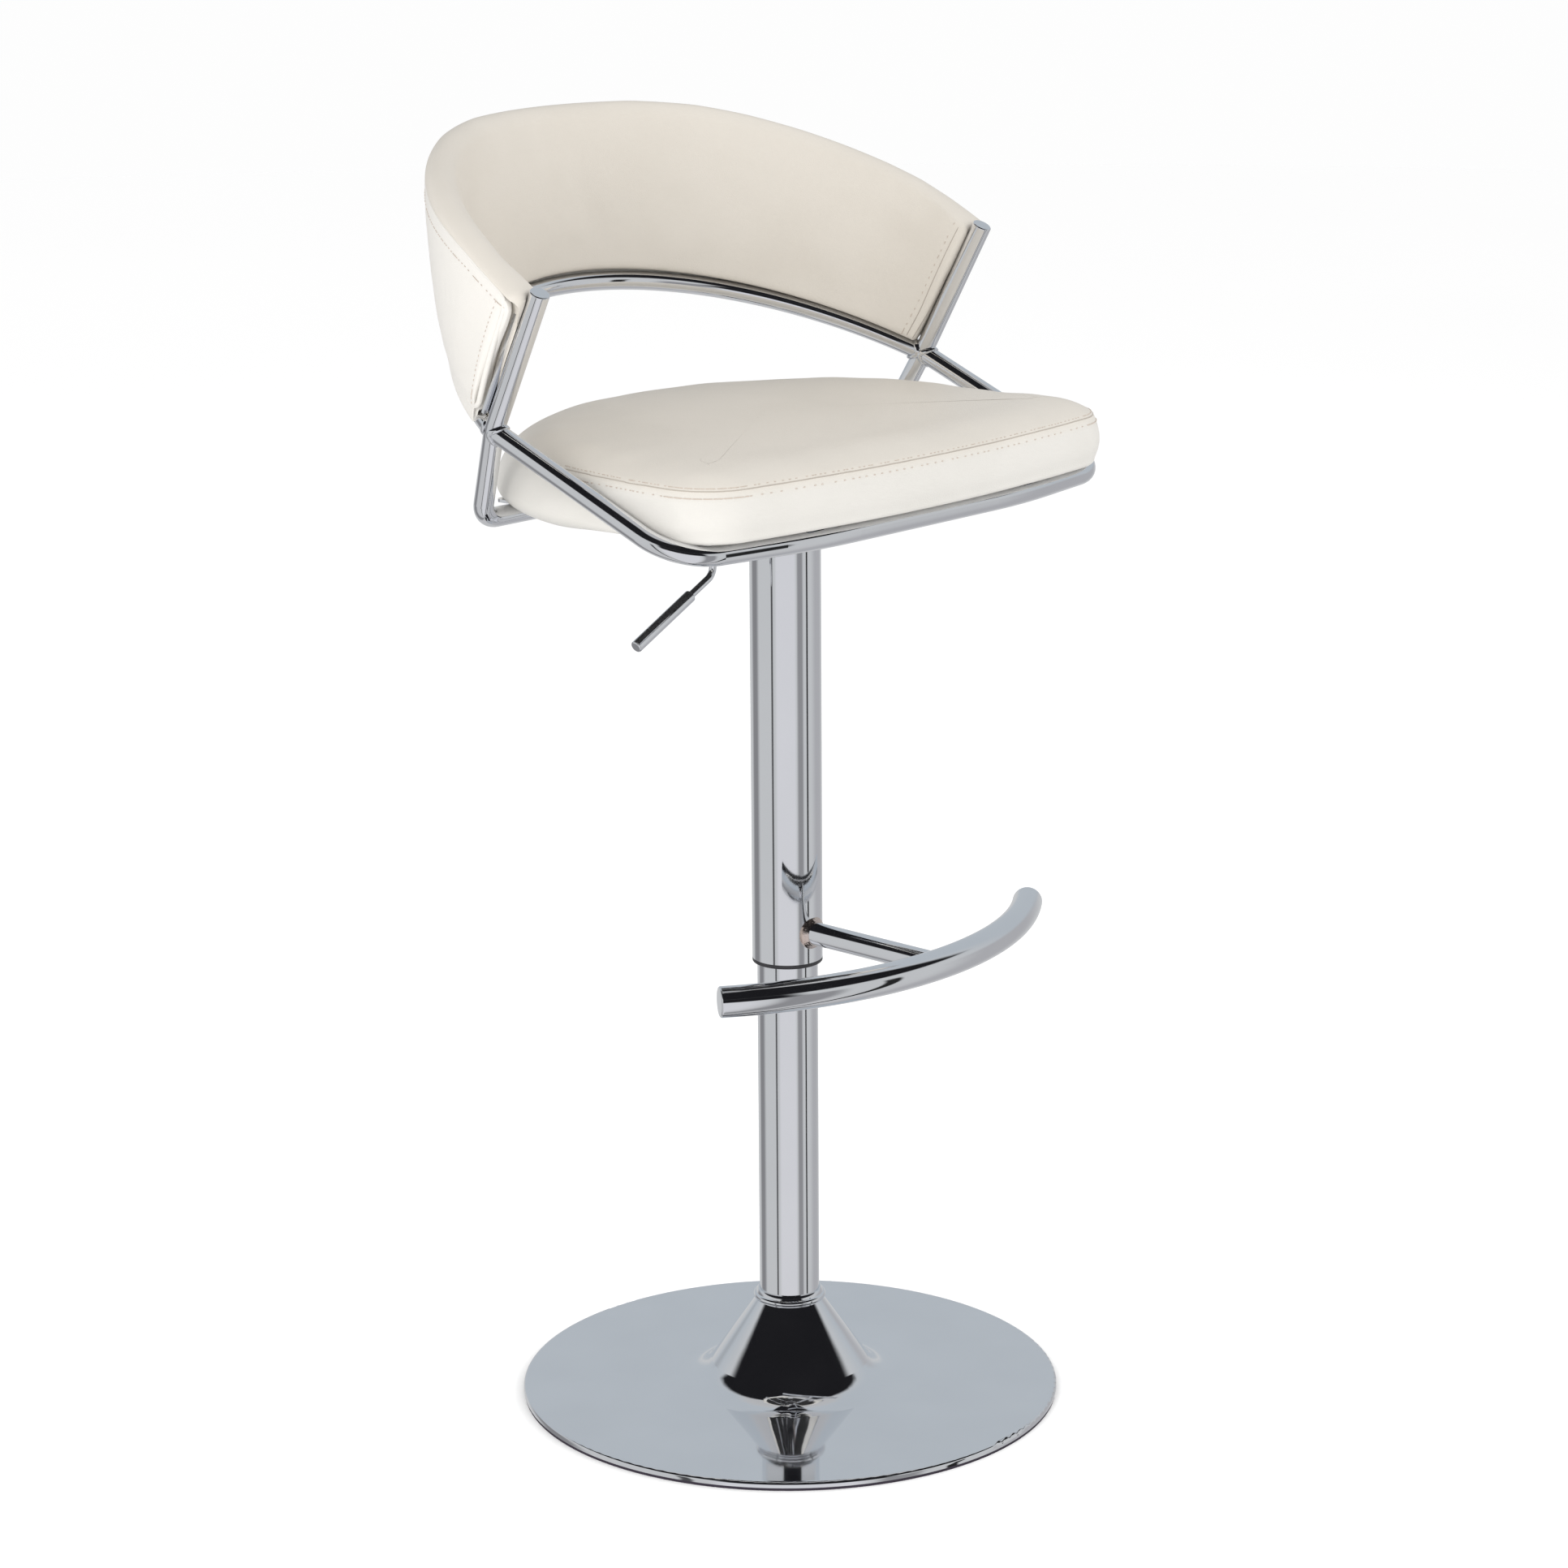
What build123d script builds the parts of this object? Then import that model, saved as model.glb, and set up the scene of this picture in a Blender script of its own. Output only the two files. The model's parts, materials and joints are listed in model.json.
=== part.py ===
from build123d import *
from math import hypot, radians, tan
import os

# Adjustable swivel bar stool.
#
# A trumpet-shaped steel base carries a chromed post. A gas spring inside the post lifts a wider
# tube that slides over it, and with it the footrest, the seat and the wrap-round back.
# The origin is on the floor at the centre of the base, +Z points up and the seat faces -Y.
# All sizes are in millimetres, with the stool at its greatest height.

os.makedirs("parts", exist_ok=True)

# ---- driving dimensions ----------------------------------------------------------------------
base_radius = 225.0
sheet = 2.0  # thickness of the base's steel
post_radius = 25.0
column_radius = 29.0
tube_wall = 1.5
frame_radius = 8.0  # all three tubes of the seat's frame
lift_travel = 215.0  # how far the seat comes down
running_gap = 0.06  # radial clearance of sliding fits
fixed_gap = 0.02  # radial clearance of pieces that are fastened together
stop_gap = 0.1  # what is left between two pieces that meet at the end of the travel
bolt_slack = 0.2  # radial clearance of a bolt in a punched hole
fit_gap = 0.3  # clearance of soft or loosely fitted pieces

# heights
ring_height = 2.5
disc_height = 10.0
collar_height = 79.0
column_bottom = 378.0
column_top = 739.5
post_top = 482.0
footrest_height = 403.0
seat_underside = 764.0
seat_top = 827.0
frame_height = 765.5  # centre of the tubes where they run level under the seat

# base
cone_slope = 55.0
cone_top_radius = 28.0
cone_blend = 35.0
post_bore = post_radius - tube_wall
column_bore = column_radius - tube_wall - 0.1
flange_bottom, flange_top = 5.0, 9.0
bolt_circle = 39.0
bolt_radius = 3.0

# gas spring
rod_radius = 5.0
cylinder_radius = 14.0
cylinder_bore = 12.2
cylinder_bottom = 280.0
cylinder_top = 743.0
taper_bottom = 702.0
taper_top_radius = 13.2
piston_bottom, piston_top = 302.0, 320.0
pin_radius = 3.0
pin_top = 750.2

# seat frame: points on the tubes' centre lines, right-hand side
cap_point = (259.0, 12.0, 953.0)
joint_point = (253.0, 71.0, 842.0)
rear_corner = (235.0, 106.0, frame_height)
front_corner = (253.0, -123.0, frame_height)
front_middle = (120.0, -147.0, frame_height)
back_middle = (0.0, 244.0, 912.0)
joint_bend = 60.0
rear_bend = 20.0
front_bend = 46.0
bow_bend = 420.0

# back: layers of an upright elliptical shell that leans backwards, and its outline from the side
back_half_width, back_half_depth = 263.5, 245.5
back_lean = 0.145  # how far it goes back for each millimetre up
back_top_outline = [
    (24.0, 956.0),
    (78.0, 986.0),
    (136.0, 1012.0),
    (202.0, 1039.0),
    (251.0, 1055.0),
    (292.0, 1061.0),
]
pad_inside, board_inside, board_outside, cover_outside = -9.0, -1.0, 4.0, 15.0
skirt_inside = 10.8
end_gap = 11.0  # from the centre line of an upright to the pad's end

# cushion, seen from above
cushion_half_width, cushion_depth = 245.0, 217.0
cushion_front_middle = -165.0
cushion_front_side = -146.0
cushion_corner = 58.0

# mechanism under the seat
channel_half_width = 32.5
channel_wall = 2.5
channel_top = 761.0
channel_length = 120.0
pivot_x = -40.0
pivot_z = 752.0
lever_rod_radius = 3.0
board_bottom, board_top = 776.0, 788.0


def mirrored(point):
    """The same point on the stool's left-hand side."""
    return (-point[0], point[1], point[2])


def save(piece, label):
    """Labels a finished piece and writes it as parts/label.step."""
    piece.part.label = label
    export_step(piece.part, f"parts/{label}.step")


def start_of(path):
    """The plane across the start of a path, to draw a section on."""
    return Plane(origin=path @ 0, z_dir=path % 0)


# ---- base ------------------------------------------------------------------------------------
# The disc rises a little from its rim and sweeps up into a straight-sided cone.
cone_rise = collar_height - disc_height
cone_foot_radius = cone_top_radius + cone_rise / tan(radians(cone_slope))
rim_drop = 2.5

with BuildPart() as base_shell:
    with BuildSketch(Plane.XZ):
        with BuildLine():
            outline = FilletPolyline(
                (base_radius, ring_height),
                (base_radius, disc_height - rim_drop),
                (cone_foot_radius, disc_height),
                (cone_top_radius, collar_height),
                radius=[3.0, cone_blend],
            )
            offset(outline, amount=sheet, side=Side.LEFT)
        make_face()
    revolve(axis=Axis.Z)
save(base_shell, "base_shell")

with BuildPart() as base_edge_ring:
    with BuildSketch():
        Circle(base_radius - 0.6)
        Circle(base_radius - 10.0, mode=Mode.SUBTRACT)
    extrude(amount=ring_height)
save(base_edge_ring, "base_edge_ring")

# The collar on top of the cone is a bulging bead with a hollow lip that runs up the post.
bead_bulge = 2.2
bead_height = 5.6
lip_top = collar_height + 9.0
lip_radius = 26.2

with BuildPart() as neck_collar:
    with BuildSketch(Plane.XZ):
        with BuildLine():
            seat_line = Line((post_radius + fixed_gap, collar_height), (cone_top_radius, collar_height))
            bead = ThreePointArc(
                seat_line @ 1,
                (cone_top_radius + bead_bulge, collar_height + bead_height / 2),
                (cone_top_radius, collar_height + bead_height),
            )
            lip = ThreePointArc(bead @ 1, (lip_radius + 1.2, lip_top - 1.8), (lip_radius, lip_top))
            Polyline(lip @ 1, (post_radius + fixed_gap, lip_top), seat_line @ 0)
        make_face()
    revolve(axis=Axis.Z)
save(neck_collar, "neck_collar")

with BuildPart() as lower_post:
    with BuildSketch(Plane.XY.offset(flange_bottom)):
        Circle(post_radius)
        Circle(post_bore, mode=Mode.SUBTRACT)
    extrude(amount=post_top - flange_bottom)
save(lower_post, "lower_post")

ballast_radius = 198.0
hub_radius = 56.0
hub_top = 19.0
hub_bore = post_radius + 2.0
plate_bottom, plate_top = 1.8, 5.4
flange_radius = 50.0

with BuildPart() as ballast_plate:
    with BuildSketch(Plane.XZ):
        with BuildLine():
            Polyline(
                (hub_bore, flange_top),
                (flange_radius + 1.0, flange_top),
                (flange_radius + 1.0, plate_bottom),
                (ballast_radius, plate_bottom),
                (ballast_radius, plate_top),
                (hub_radius + 8.0, plate_top),
                (hub_radius, hub_top),
                (hub_bore, hub_top),
                close=True,
            )
        make_face()
    revolve(axis=Axis.Z)
    with BuildSketch(Plane.XY.offset(flange_top)):
        with PolarLocations(bolt_circle, 4, start_angle=45):
            Circle(bolt_radius + fixed_gap)
    extrude(amount=hub_top - flange_top, mode=Mode.SUBTRACT)
save(ballast_plate, "ballast_plate")

with BuildPart() as foot_flange:
    with BuildSketch(Plane.XY.offset(flange_bottom)):
        Circle(flange_radius)
        Circle(post_radius + fixed_gap, mode=Mode.SUBTRACT)
        with PolarLocations(bolt_circle, 4, start_angle=45):
            Circle(bolt_radius + bolt_slack, mode=Mode.SUBTRACT)
    extrude(amount=flange_top - flange_bottom)
save(foot_flange, "foot_flange")

washer_thickness = 1.0

with BuildPart() as foot_washers:
    with BuildSketch(Plane.XY.offset(flange_bottom - washer_thickness)):
        with PolarLocations(bolt_circle, 4, start_angle=45):
            Circle(6.5)
            Circle(bolt_radius + bolt_slack, mode=Mode.SUBTRACT)
    extrude(amount=washer_thickness)
save(foot_washers, "foot_washers")

bolt_head_bottom = 0.9

with BuildPart() as foot_bolts:
    with BuildSketch(Plane.XY.offset(bolt_head_bottom)):
        with PolarLocations(bolt_circle, 4, start_angle=45):
            RegularPolygon(radius=5.6, side_count=6)
    extrude(amount=flange_bottom - washer_thickness - bolt_head_bottom)
    with BuildSketch(Plane.XY.offset(flange_bottom - washer_thickness)):
        with PolarLocations(bolt_circle, 4, start_angle=45):
            Circle(bolt_radius)
    extrude(amount=hub_top - flange_bottom)
save(foot_bolts, "foot_bolts")

# The plate in the post's foot carries the thrust bearing on which the whole seat turns.
foot_plate_bottom, foot_plate_top = 7.0, 11.0
race_height = 2.0
ball_radius = 2.0
ball_circle = 12.0
ball_count = 12
race_radius = 16.0
lower_race_top = foot_plate_top + race_height
upper_race_bottom = lower_race_top + 2 * ball_radius
upper_race_top = upper_race_bottom + race_height

with BuildPart() as foot_plate:
    with BuildSketch(Plane.XY.offset(foot_plate_bottom)):
        Circle(post_bore - fixed_gap)
        Circle(rod_radius + running_gap, mode=Mode.SUBTRACT)
    extrude(amount=foot_plate_top - foot_plate_bottom)
save(foot_plate, "foot_plate")

with BuildPart() as lower_race:
    with BuildSketch(Plane.XY.offset(foot_plate_top)):
        Circle(race_radius)
        Circle(rod_radius + 0.5, mode=Mode.SUBTRACT)
    extrude(amount=race_height)
save(lower_race, "lower_race")

guide_bush_bottom = 441.0
rim_thickness = 3.0
rim_bore = cylinder_radius + 4.0

with BuildPart() as guide_bush:
    with BuildSketch(Plane.XY.offset(guide_bush_bottom)):
        Circle(column_bore - running_gap)
        Circle(post_radius + fixed_gap, mode=Mode.SUBTRACT)
    extrude(amount=post_top - guide_bush_bottom)
    with BuildSketch(Plane.XY.offset(post_top)):
        Circle(column_bore - running_gap)
        Circle(rim_bore, mode=Mode.SUBTRACT)
    extrude(amount=rim_thickness)
save(guide_bush, "guide_bush")

cylinder_guide_length = 40.0

with BuildPart() as cylinder_guide:
    with BuildSketch(Plane.XY.offset(post_top - cylinder_guide_length)):
        Circle(post_bore - fixed_gap)
        Circle(cylinder_radius + running_gap, mode=Mode.SUBTRACT)
    extrude(amount=cylinder_guide_length)
save(cylinder_guide, "cylinder_guide")

# ---- gas spring's rod: turns with the seat, but stays at the foot of the post ------------------
rod_bottom = 1.6
shoulder_radius = 8.0
shoulder_top = upper_race_top + 4.0
bump_stop_top = cylinder_bottom - lift_travel - stop_gap

with BuildPart() as piston_rod:
    with BuildSketch(Plane.XY.offset(rod_bottom)):
        Circle(rod_radius)
    extrude(amount=piston_top - rod_bottom)
    with BuildSketch(Plane.XY.offset(upper_race_top)):
        Circle(shoulder_radius)
    extrude(amount=shoulder_top - upper_race_top)
save(piston_rod, "piston_rod")

with BuildPart() as piston_head:
    with BuildSketch(Plane.XY.offset(piston_bottom)):
        Circle(cylinder_bore - running_gap)
        Circle(rod_radius + fixed_gap, mode=Mode.SUBTRACT)
    extrude(amount=piston_top - piston_bottom)
save(piston_head, "piston_head")

with BuildPart() as bearing_balls:
    with PolarLocations(ball_circle, ball_count):
        with Locations((0, 0, lower_race_top + ball_radius)):
            Sphere(ball_radius - 0.01)
save(bearing_balls, "bearing_balls")

with BuildPart() as upper_race:
    with BuildSketch(Plane.XY.offset(upper_race_bottom)):
        Circle(race_radius)
        Circle(rod_radius + fixed_gap, mode=Mode.SUBTRACT)
    extrude(amount=race_height)
save(upper_race, "upper_race")

with BuildPart() as bump_stop:
    with BuildSketch(Plane.XY.offset(shoulder_top)):
        Circle(11.0)
        Circle(rod_radius + fixed_gap, mode=Mode.SUBTRACT)
    extrude(amount=bump_stop_top - shoulder_top)
    top_edges = bump_stop.edges().filter_by(GeomType.CIRCLE).group_by(Axis.Z)[-1]
    fillet(top_edges.sort_by(SortBy.RADIUS)[-1], 3.0)
save(bump_stop, "bump_stop")

clip_height = 1.2
washer_bottom = foot_plate_bottom - 1.6

with BuildPart() as rod_washer:
    with BuildSketch(Plane.XY.offset(washer_bottom)):
        Circle(10.0)
        Circle(rod_radius + fixed_gap, mode=Mode.SUBTRACT)
    extrude(amount=1.5)
save(rod_washer, "rod_washer")

with BuildPart() as rod_clip:
    with BuildSketch(Plane.XY.offset(washer_bottom - clip_height)):
        Circle(8.0)
        Circle(rod_radius + fixed_gap, mode=Mode.SUBTRACT)
        with Locations((6.0, 0)):
            Rectangle(8.0, 4.0, mode=Mode.SUBTRACT)
    extrude(amount=clip_height)
save(rod_clip, "rod_clip")

# ---- lifting column ----------------------------------------------------------------------------
with BuildPart() as gas_cylinder:
    with BuildSketch(Plane.XZ):
        with BuildLine():
            Polyline(
                (cylinder_bore, cylinder_bottom),
                (cylinder_radius, cylinder_bottom),
                (cylinder_radius, taper_bottom),
                (taper_top_radius, cylinder_top),
                (pin_radius + running_gap, cylinder_top),
                (pin_radius + running_gap, taper_bottom + 10.0),
                (cylinder_bore, taper_bottom + 10.0),
                close=True,
            )
        make_face()
    revolve(axis=Axis.Z)
save(gas_cylinder, "gas_cylinder")

with BuildPart() as cylinder_gland:
    with BuildSketch(Plane.XY.offset(cylinder_bottom)):
        Circle(cylinder_bore - fixed_gap)
        Circle(rod_radius + running_gap, mode=Mode.SUBTRACT)
    extrude(amount=piston_bottom - stop_gap - cylinder_bottom)
save(cylinder_gland, "cylinder_gland")

with BuildPart() as release_pin:
    with BuildSketch(Plane.XY.offset(taper_bottom)):
        Circle(pin_radius)
    extrude(amount=pin_top - taper_bottom)
    fillet(release_pin.edges().group_by(Axis.Z)[-1], 0.8)
save(release_pin, "release_pin")

with BuildPart() as upper_tube:
    with BuildSketch(Plane.XY.offset(column_bottom)):
        Circle(column_radius)
        Circle(column_bore, mode=Mode.SUBTRACT)
    extrude(amount=column_top - column_bottom)
save(upper_tube, "upper_tube")

lip_height = 3.5
slide_bush_top = guide_bush_bottom - 1.0

with BuildPart() as slide_bush:
    with BuildSketch(Plane.XY.offset(column_bottom)):
        Circle(column_bore - fixed_gap)
    extrude(amount=slide_bush_top - column_bottom)
    with BuildSketch(Plane.XY.offset(column_bottom - lip_height)):
        Circle(column_radius)
    extrude(amount=lip_height)
    fillet(slide_bush.edges().group_by(Axis.Z)[0], 1.2)
    with BuildSketch(Plane.XY.offset(column_bottom - lip_height)):
        Circle(post_radius + running_gap)
    extrude(amount=slide_bush_top - column_bottom + lip_height, mode=Mode.SUBTRACT)
save(slide_bush, "slide_bush")

hub_flange = 2.5

with BuildPart() as mount_hub:
    with BuildSketch(Plane.XZ):
        with BuildLine():
            Polyline(
                (cylinder_radius + fixed_gap, taper_bottom),
                (column_bore - fixed_gap, taper_bottom),
                (column_bore - fixed_gap, column_top),
                (column_radius + 9.0, column_top),
                (column_radius + 9.0, column_top + hub_flange),
                (taper_top_radius + fixed_gap, column_top + hub_flange),
                close=True,
            )
        make_face()
    revolve(axis=Axis.Z)
save(mount_hub, "mount_hub")

# ---- footrest ------------------------------------------------------------------------------------
bar_radius = 12.5
bar_middle_y = -163.0
bar_end = (187.0, -102.0)
stem_radius = 9.5
bar_cap = 2.5

with BuildLine() as bar_path:
    ThreePointArc(
        (-bar_end[0], bar_end[1], footrest_height),
        (0, bar_middle_y, footrest_height),
        (bar_end[0], bar_end[1], footrest_height),
    )
bar_line = bar_path.wire()

with BuildPart() as bar_envelope:
    with BuildSketch(start_of(bar_line)):
        Circle(bar_radius)
    sweep(path=bar_line)

with BuildPart() as footrest_bar:
    add(bar_envelope.part)
    with BuildSketch(start_of(bar_line)):
        Circle(bar_radius - tube_wall)
    sweep(path=bar_line, mode=Mode.SUBTRACT)
save(footrest_bar, "footrest_bar")

with BuildPart() as footrest_end_caps:
    for place, outward in ((bar_line @ 0, -(bar_line % 0)), (bar_line @ 1, bar_line % 1)):
        with BuildSketch(Plane(origin=place, z_dir=outward)):
            Circle(bar_radius)
        extrude(amount=bar_cap)
        rims = footrest_end_caps.edges().filter_by(GeomType.CIRCLE)
        fillet(rims.sort_by_distance(place + outward * bar_cap)[0], 1.6)
save(footrest_end_caps, "footrest_end_caps")

stem_plane = Plane(origin=(0, 0, footrest_height), z_dir=(0, -1, 0))

with BuildPart() as footrest_stem:
    with BuildSketch(stem_plane):
        Circle(stem_radius)
    extrude(amount=-bar_middle_y)
    with BuildSketch(stem_plane):
        Circle(stem_radius - tube_wall)
    extrude(amount=-bar_middle_y, mode=Mode.SUBTRACT)
    with BuildSketch(Plane.XY.offset(footrest_height - 2 * stem_radius)):
        Circle(column_radius)
    extrude(amount=4 * stem_radius, mode=Mode.SUBTRACT)
    add(bar_envelope.part, mode=Mode.SUBTRACT)
save(footrest_stem, "footrest_stem")

bead_size = 4.0

with BuildPart() as stem_weld:
    with BuildSketch(stem_plane.offset(column_radius - 3.0)):
        Circle(stem_radius + bead_size)
        Circle(stem_radius, mode=Mode.SUBTRACT)
    extrude(amount=bead_size + 2.0)
    front_edges = stem_weld.edges().filter_by(GeomType.CIRCLE).group_by(Axis.Y)[0]
    chamfer(front_edges.sort_by(SortBy.RADIUS)[-1], bead_size - 0.5)
    with BuildSketch(Plane.XY.offset(footrest_height - 2 * stem_radius)):
        Circle(column_radius)
    extrude(amount=4 * stem_radius, mode=Mode.SUBTRACT)
save(stem_weld, "stem_weld")

# ---- seat frame ----------------------------------------------------------------------------------
with BuildLine() as rear_line:
    FilletPolyline(
        mirrored(cap_point),
        mirrored(joint_point),
        mirrored(rear_corner),
        rear_corner,
        joint_point,
        cap_point,
        radius=[joint_bend, rear_bend, rear_bend, joint_bend],
    )
rear_path = rear_line.wire()

with BuildLine() as front_line:
    FilletPolyline(
        mirrored(joint_point),
        mirrored(front_corner),
        mirrored(front_middle),
        front_middle,
        front_corner,
        joint_point,
        radius=[front_bend, bow_bend, bow_bend, front_bend],
    )
front_path = front_line.wire()

with BuildLine() as back_line:
    ThreePointArc(mirrored(joint_point), back_middle, joint_point)
back_path = back_line.wire()

with BuildPart() as rear_envelope:
    with BuildSketch(start_of(rear_path)):
        Circle(frame_radius)
    sweep(path=rear_path)

with BuildPart() as back_envelope:
    with BuildSketch(start_of(back_path)):
        Circle(frame_radius)
    sweep(path=back_path)

with BuildPart() as front_envelope:
    with BuildSketch(start_of(front_path)):
        Circle(frame_radius)
    sweep(path=front_path)

# The same tubes a little thicker, to cut the pieces that fit round or against them.

with BuildPart() as rear_clearance:
    with BuildSketch(start_of(rear_path)):
        Circle(frame_radius + fit_gap)
    sweep(path=rear_path)

with BuildPart() as back_clearance:
    with BuildSketch(start_of(back_path)):
        Circle(frame_radius + fit_gap)
    sweep(path=back_path)

with BuildPart() as front_clearance:
    with BuildSketch(start_of(front_path)):
        Circle(frame_radius + fit_gap)
    sweep(path=front_path)

with BuildPart() as rear_frame_tube:
    add(rear_envelope.part)
    with BuildSketch(start_of(rear_path)):
        Circle(frame_radius - tube_wall)
    sweep(path=rear_path, mode=Mode.SUBTRACT)
save(rear_frame_tube, "rear_frame_tube")

with BuildPart() as back_arc_tube:
    add(back_envelope.part)
    with BuildSketch(start_of(back_path)):
        Circle(frame_radius - tube_wall)
    sweep(path=back_path, mode=Mode.SUBTRACT)
    add(rear_clearance.part, mode=Mode.SUBTRACT)
    keep = back_arc_tube.solids().sort_by(SortBy.VOLUME)[-1]
    add(keep, mode=Mode.INTERSECT)
save(back_arc_tube, "back_arc_tube")

with BuildPart() as front_frame_tube:
    add(front_envelope.part)
    with BuildSketch(start_of(front_path)):
        Circle(frame_radius - tube_wall)
    sweep(path=front_path, mode=Mode.SUBTRACT)
    add(rear_clearance.part, mode=Mode.SUBTRACT)
    add(back_clearance.part, mode=Mode.SUBTRACT)
    keep = front_frame_tube.solids().sort_by(SortBy.VOLUME)[-1]
    add(keep, mode=Mode.INTERSECT)
save(front_frame_tube, "front_frame_tube")

cap_thickness = 2.0

with BuildPart() as upright_caps:
    for place, outward in ((rear_path @ 0, -(rear_path % 0)), (rear_path @ 1, rear_path % 1)):
        with BuildSketch(Plane(origin=place, z_dir=outward)):
            Circle(frame_radius)
        extrude(amount=cap_thickness)
        rims = upright_caps.edges().filter_by(GeomType.CIRCLE)
        fillet(rims.sort_by_distance(place + outward * cap_thickness)[0], 1.2)
save(upright_caps, "upright_caps")

# ---- mechanism under the seat --------------------------------------------------------------------
# A pressed channel, open at its ends, with the lever lying in it above the gas spring's pin.
channel_bottom = column_top + hub_flange
flange_half_width = 75.0
mount_bolt_x, mount_bolt_y = 45.0, 58.0
pivot_pin_radius = 3.0
board_bolt_radius = 3.0

with BuildPart() as seat_mechanism:
    with BuildSketch(Plane.YZ.offset(-channel_length / 2)):
        with BuildLine():
            Polyline(
                (-flange_half_width, channel_top),
                (-flange_half_width, channel_top - channel_wall),
                (-channel_half_width, channel_top - channel_wall),
                (-channel_half_width, channel_bottom),
                (channel_half_width, channel_bottom),
                (channel_half_width, channel_top - channel_wall),
                (flange_half_width, channel_top - channel_wall),
                (flange_half_width, channel_top),
                (channel_half_width - channel_wall, channel_top),
                (channel_half_width - channel_wall, channel_bottom + channel_wall),
                (channel_wall - channel_half_width, channel_bottom + channel_wall),
                (channel_wall - channel_half_width, channel_top),
                close=True,
            )
        make_face()
    extrude(amount=channel_length)
    with BuildSketch(Plane.XY.offset(channel_bottom)):
        Circle(taper_top_radius + 2.5)
    extrude(amount=channel_wall, mode=Mode.SUBTRACT)
    with BuildSketch(Plane.XZ.offset(-channel_half_width)):
        with Locations((pivot_x, pivot_z)):
            Circle(pivot_pin_radius + fixed_gap)
    extrude(amount=2 * channel_half_width, mode=Mode.SUBTRACT)
    with BuildSketch(Plane.XY.offset(channel_top - channel_wall)):
        with GridLocations(2 * mount_bolt_x, 2 * mount_bolt_y, 2, 2):
            Circle(board_bolt_radius + bolt_slack)
    extrude(amount=channel_wall, mode=Mode.SUBTRACT)
save(seat_mechanism, "seat_mechanism")

with BuildPart() as lever_pivot_pin:
    with BuildSketch(Plane.XZ.offset(-channel_half_width - 2.0)):
        with Locations((pivot_x, pivot_z)):
            Circle(pivot_pin_radius)
    extrude(amount=2 * channel_half_width + 4.0)
save(lever_pivot_pin, "lever_pivot_pin")

spacer_radius = 9.0
bolt_embedment = board_top - 3.0

with BuildPart() as mechanism_spacers:
    with BuildSketch(Plane.XY.offset(channel_top)):
        with GridLocations(2 * mount_bolt_x, 2 * mount_bolt_y, 2, 2):
            Circle(spacer_radius)
            Circle(board_bolt_radius + bolt_slack, mode=Mode.SUBTRACT)
    extrude(amount=board_bottom - channel_top)
save(mechanism_spacers, "mechanism_spacers")

with BuildPart() as mechanism_washers:
    with BuildSketch(Plane.XY.offset(channel_top - channel_wall - washer_thickness)):
        with GridLocations(2 * mount_bolt_x, 2 * mount_bolt_y, 2, 2):
            Circle(7.0)
            Circle(board_bolt_radius + bolt_slack, mode=Mode.SUBTRACT)
    extrude(amount=washer_thickness)
save(mechanism_washers, "mechanism_washers")

bolt_head = 4.0

with BuildPart() as mechanism_bolts:
    with BuildSketch(Plane.XY.offset(channel_top - channel_wall - washer_thickness - bolt_head)):
        with GridLocations(2 * mount_bolt_x, 2 * mount_bolt_y, 2, 2):
            RegularPolygon(radius=5.6, side_count=6)
    extrude(amount=bolt_head)
    with BuildSketch(Plane.XY.offset(channel_top - channel_wall - washer_thickness)):
        with GridLocations(2 * mount_bolt_x, 2 * mount_bolt_y, 2, 2):
            Circle(board_bolt_radius)
    extrude(amount=bolt_embedment - channel_top + channel_wall + washer_thickness)
save(mechanism_bolts, "mechanism_bolts")

# ---- lever ---------------------------------------------------------------------------------------
sleeve_radius = 5.5
sleeve_length = 24.0
tongue_end_x = 9.0
tongue_thickness = 3.0
tongue_bottom = pin_top + 0.3

with BuildPart() as lever_sleeve:
    with BuildSketch(Plane.XZ.offset(-sleeve_length / 2)):
        with Locations((pivot_x, pivot_z)):
            Circle(sleeve_radius)
            Circle(pivot_pin_radius + running_gap, mode=Mode.SUBTRACT)
    extrude(amount=sleeve_length)
save(lever_sleeve, "lever_sleeve")

with BuildPart() as lever_tongue:
    with BuildSketch(Plane.XY.offset(tongue_bottom)):
        with Locations(((pivot_x + tongue_end_x) / 2, 0)):
            RectangleRounded(tongue_end_x - pivot_x, 14.0, 3.0)
    extrude(amount=tongue_thickness)
    with BuildSketch(Plane.XZ.offset(-sleeve_length / 2)):
        with Locations((pivot_x, pivot_z)):
            Circle(sleeve_radius)
    extrude(amount=sleeve_length, mode=Mode.SUBTRACT)
    keep = lever_tongue.solids().sort_by(Axis.X)[-1]
    add(keep, mode=Mode.INTERSECT)
save(lever_tongue, "lever_tongue")

lever_knee = (-80.0, 0.0, 748.0)
lever_elbow = (-86.0, 0.0, 712.0)
lever_tip = (-172.0, 0.0, 669.0)
grip_radius = 5.0
grip_length = 70.0
grip_lip = 1.5

with BuildLine() as lever_line:
    FilletPolyline(
        (pivot_x, 0, pivot_z),
        lever_knee,
        lever_elbow,
        lever_tip,
        radius=[9.0, 11.0],
    )
lever_path = lever_line.wire()
lever_outward = lever_path % 1
grip_plane = Plane(origin=lever_path @ 1, z_dir=lever_outward)

with BuildPart() as lever_rod:
    with BuildSketch(start_of(lever_path)):
        Circle(lever_rod_radius)
    sweep(path=lever_path)
    with BuildSketch(Plane.XZ.offset(-sleeve_length / 2)):
        with Locations((pivot_x, pivot_z)):
            Circle(sleeve_radius)
    extrude(amount=sleeve_length, mode=Mode.SUBTRACT)
save(lever_rod, "lever_rod")

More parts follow.
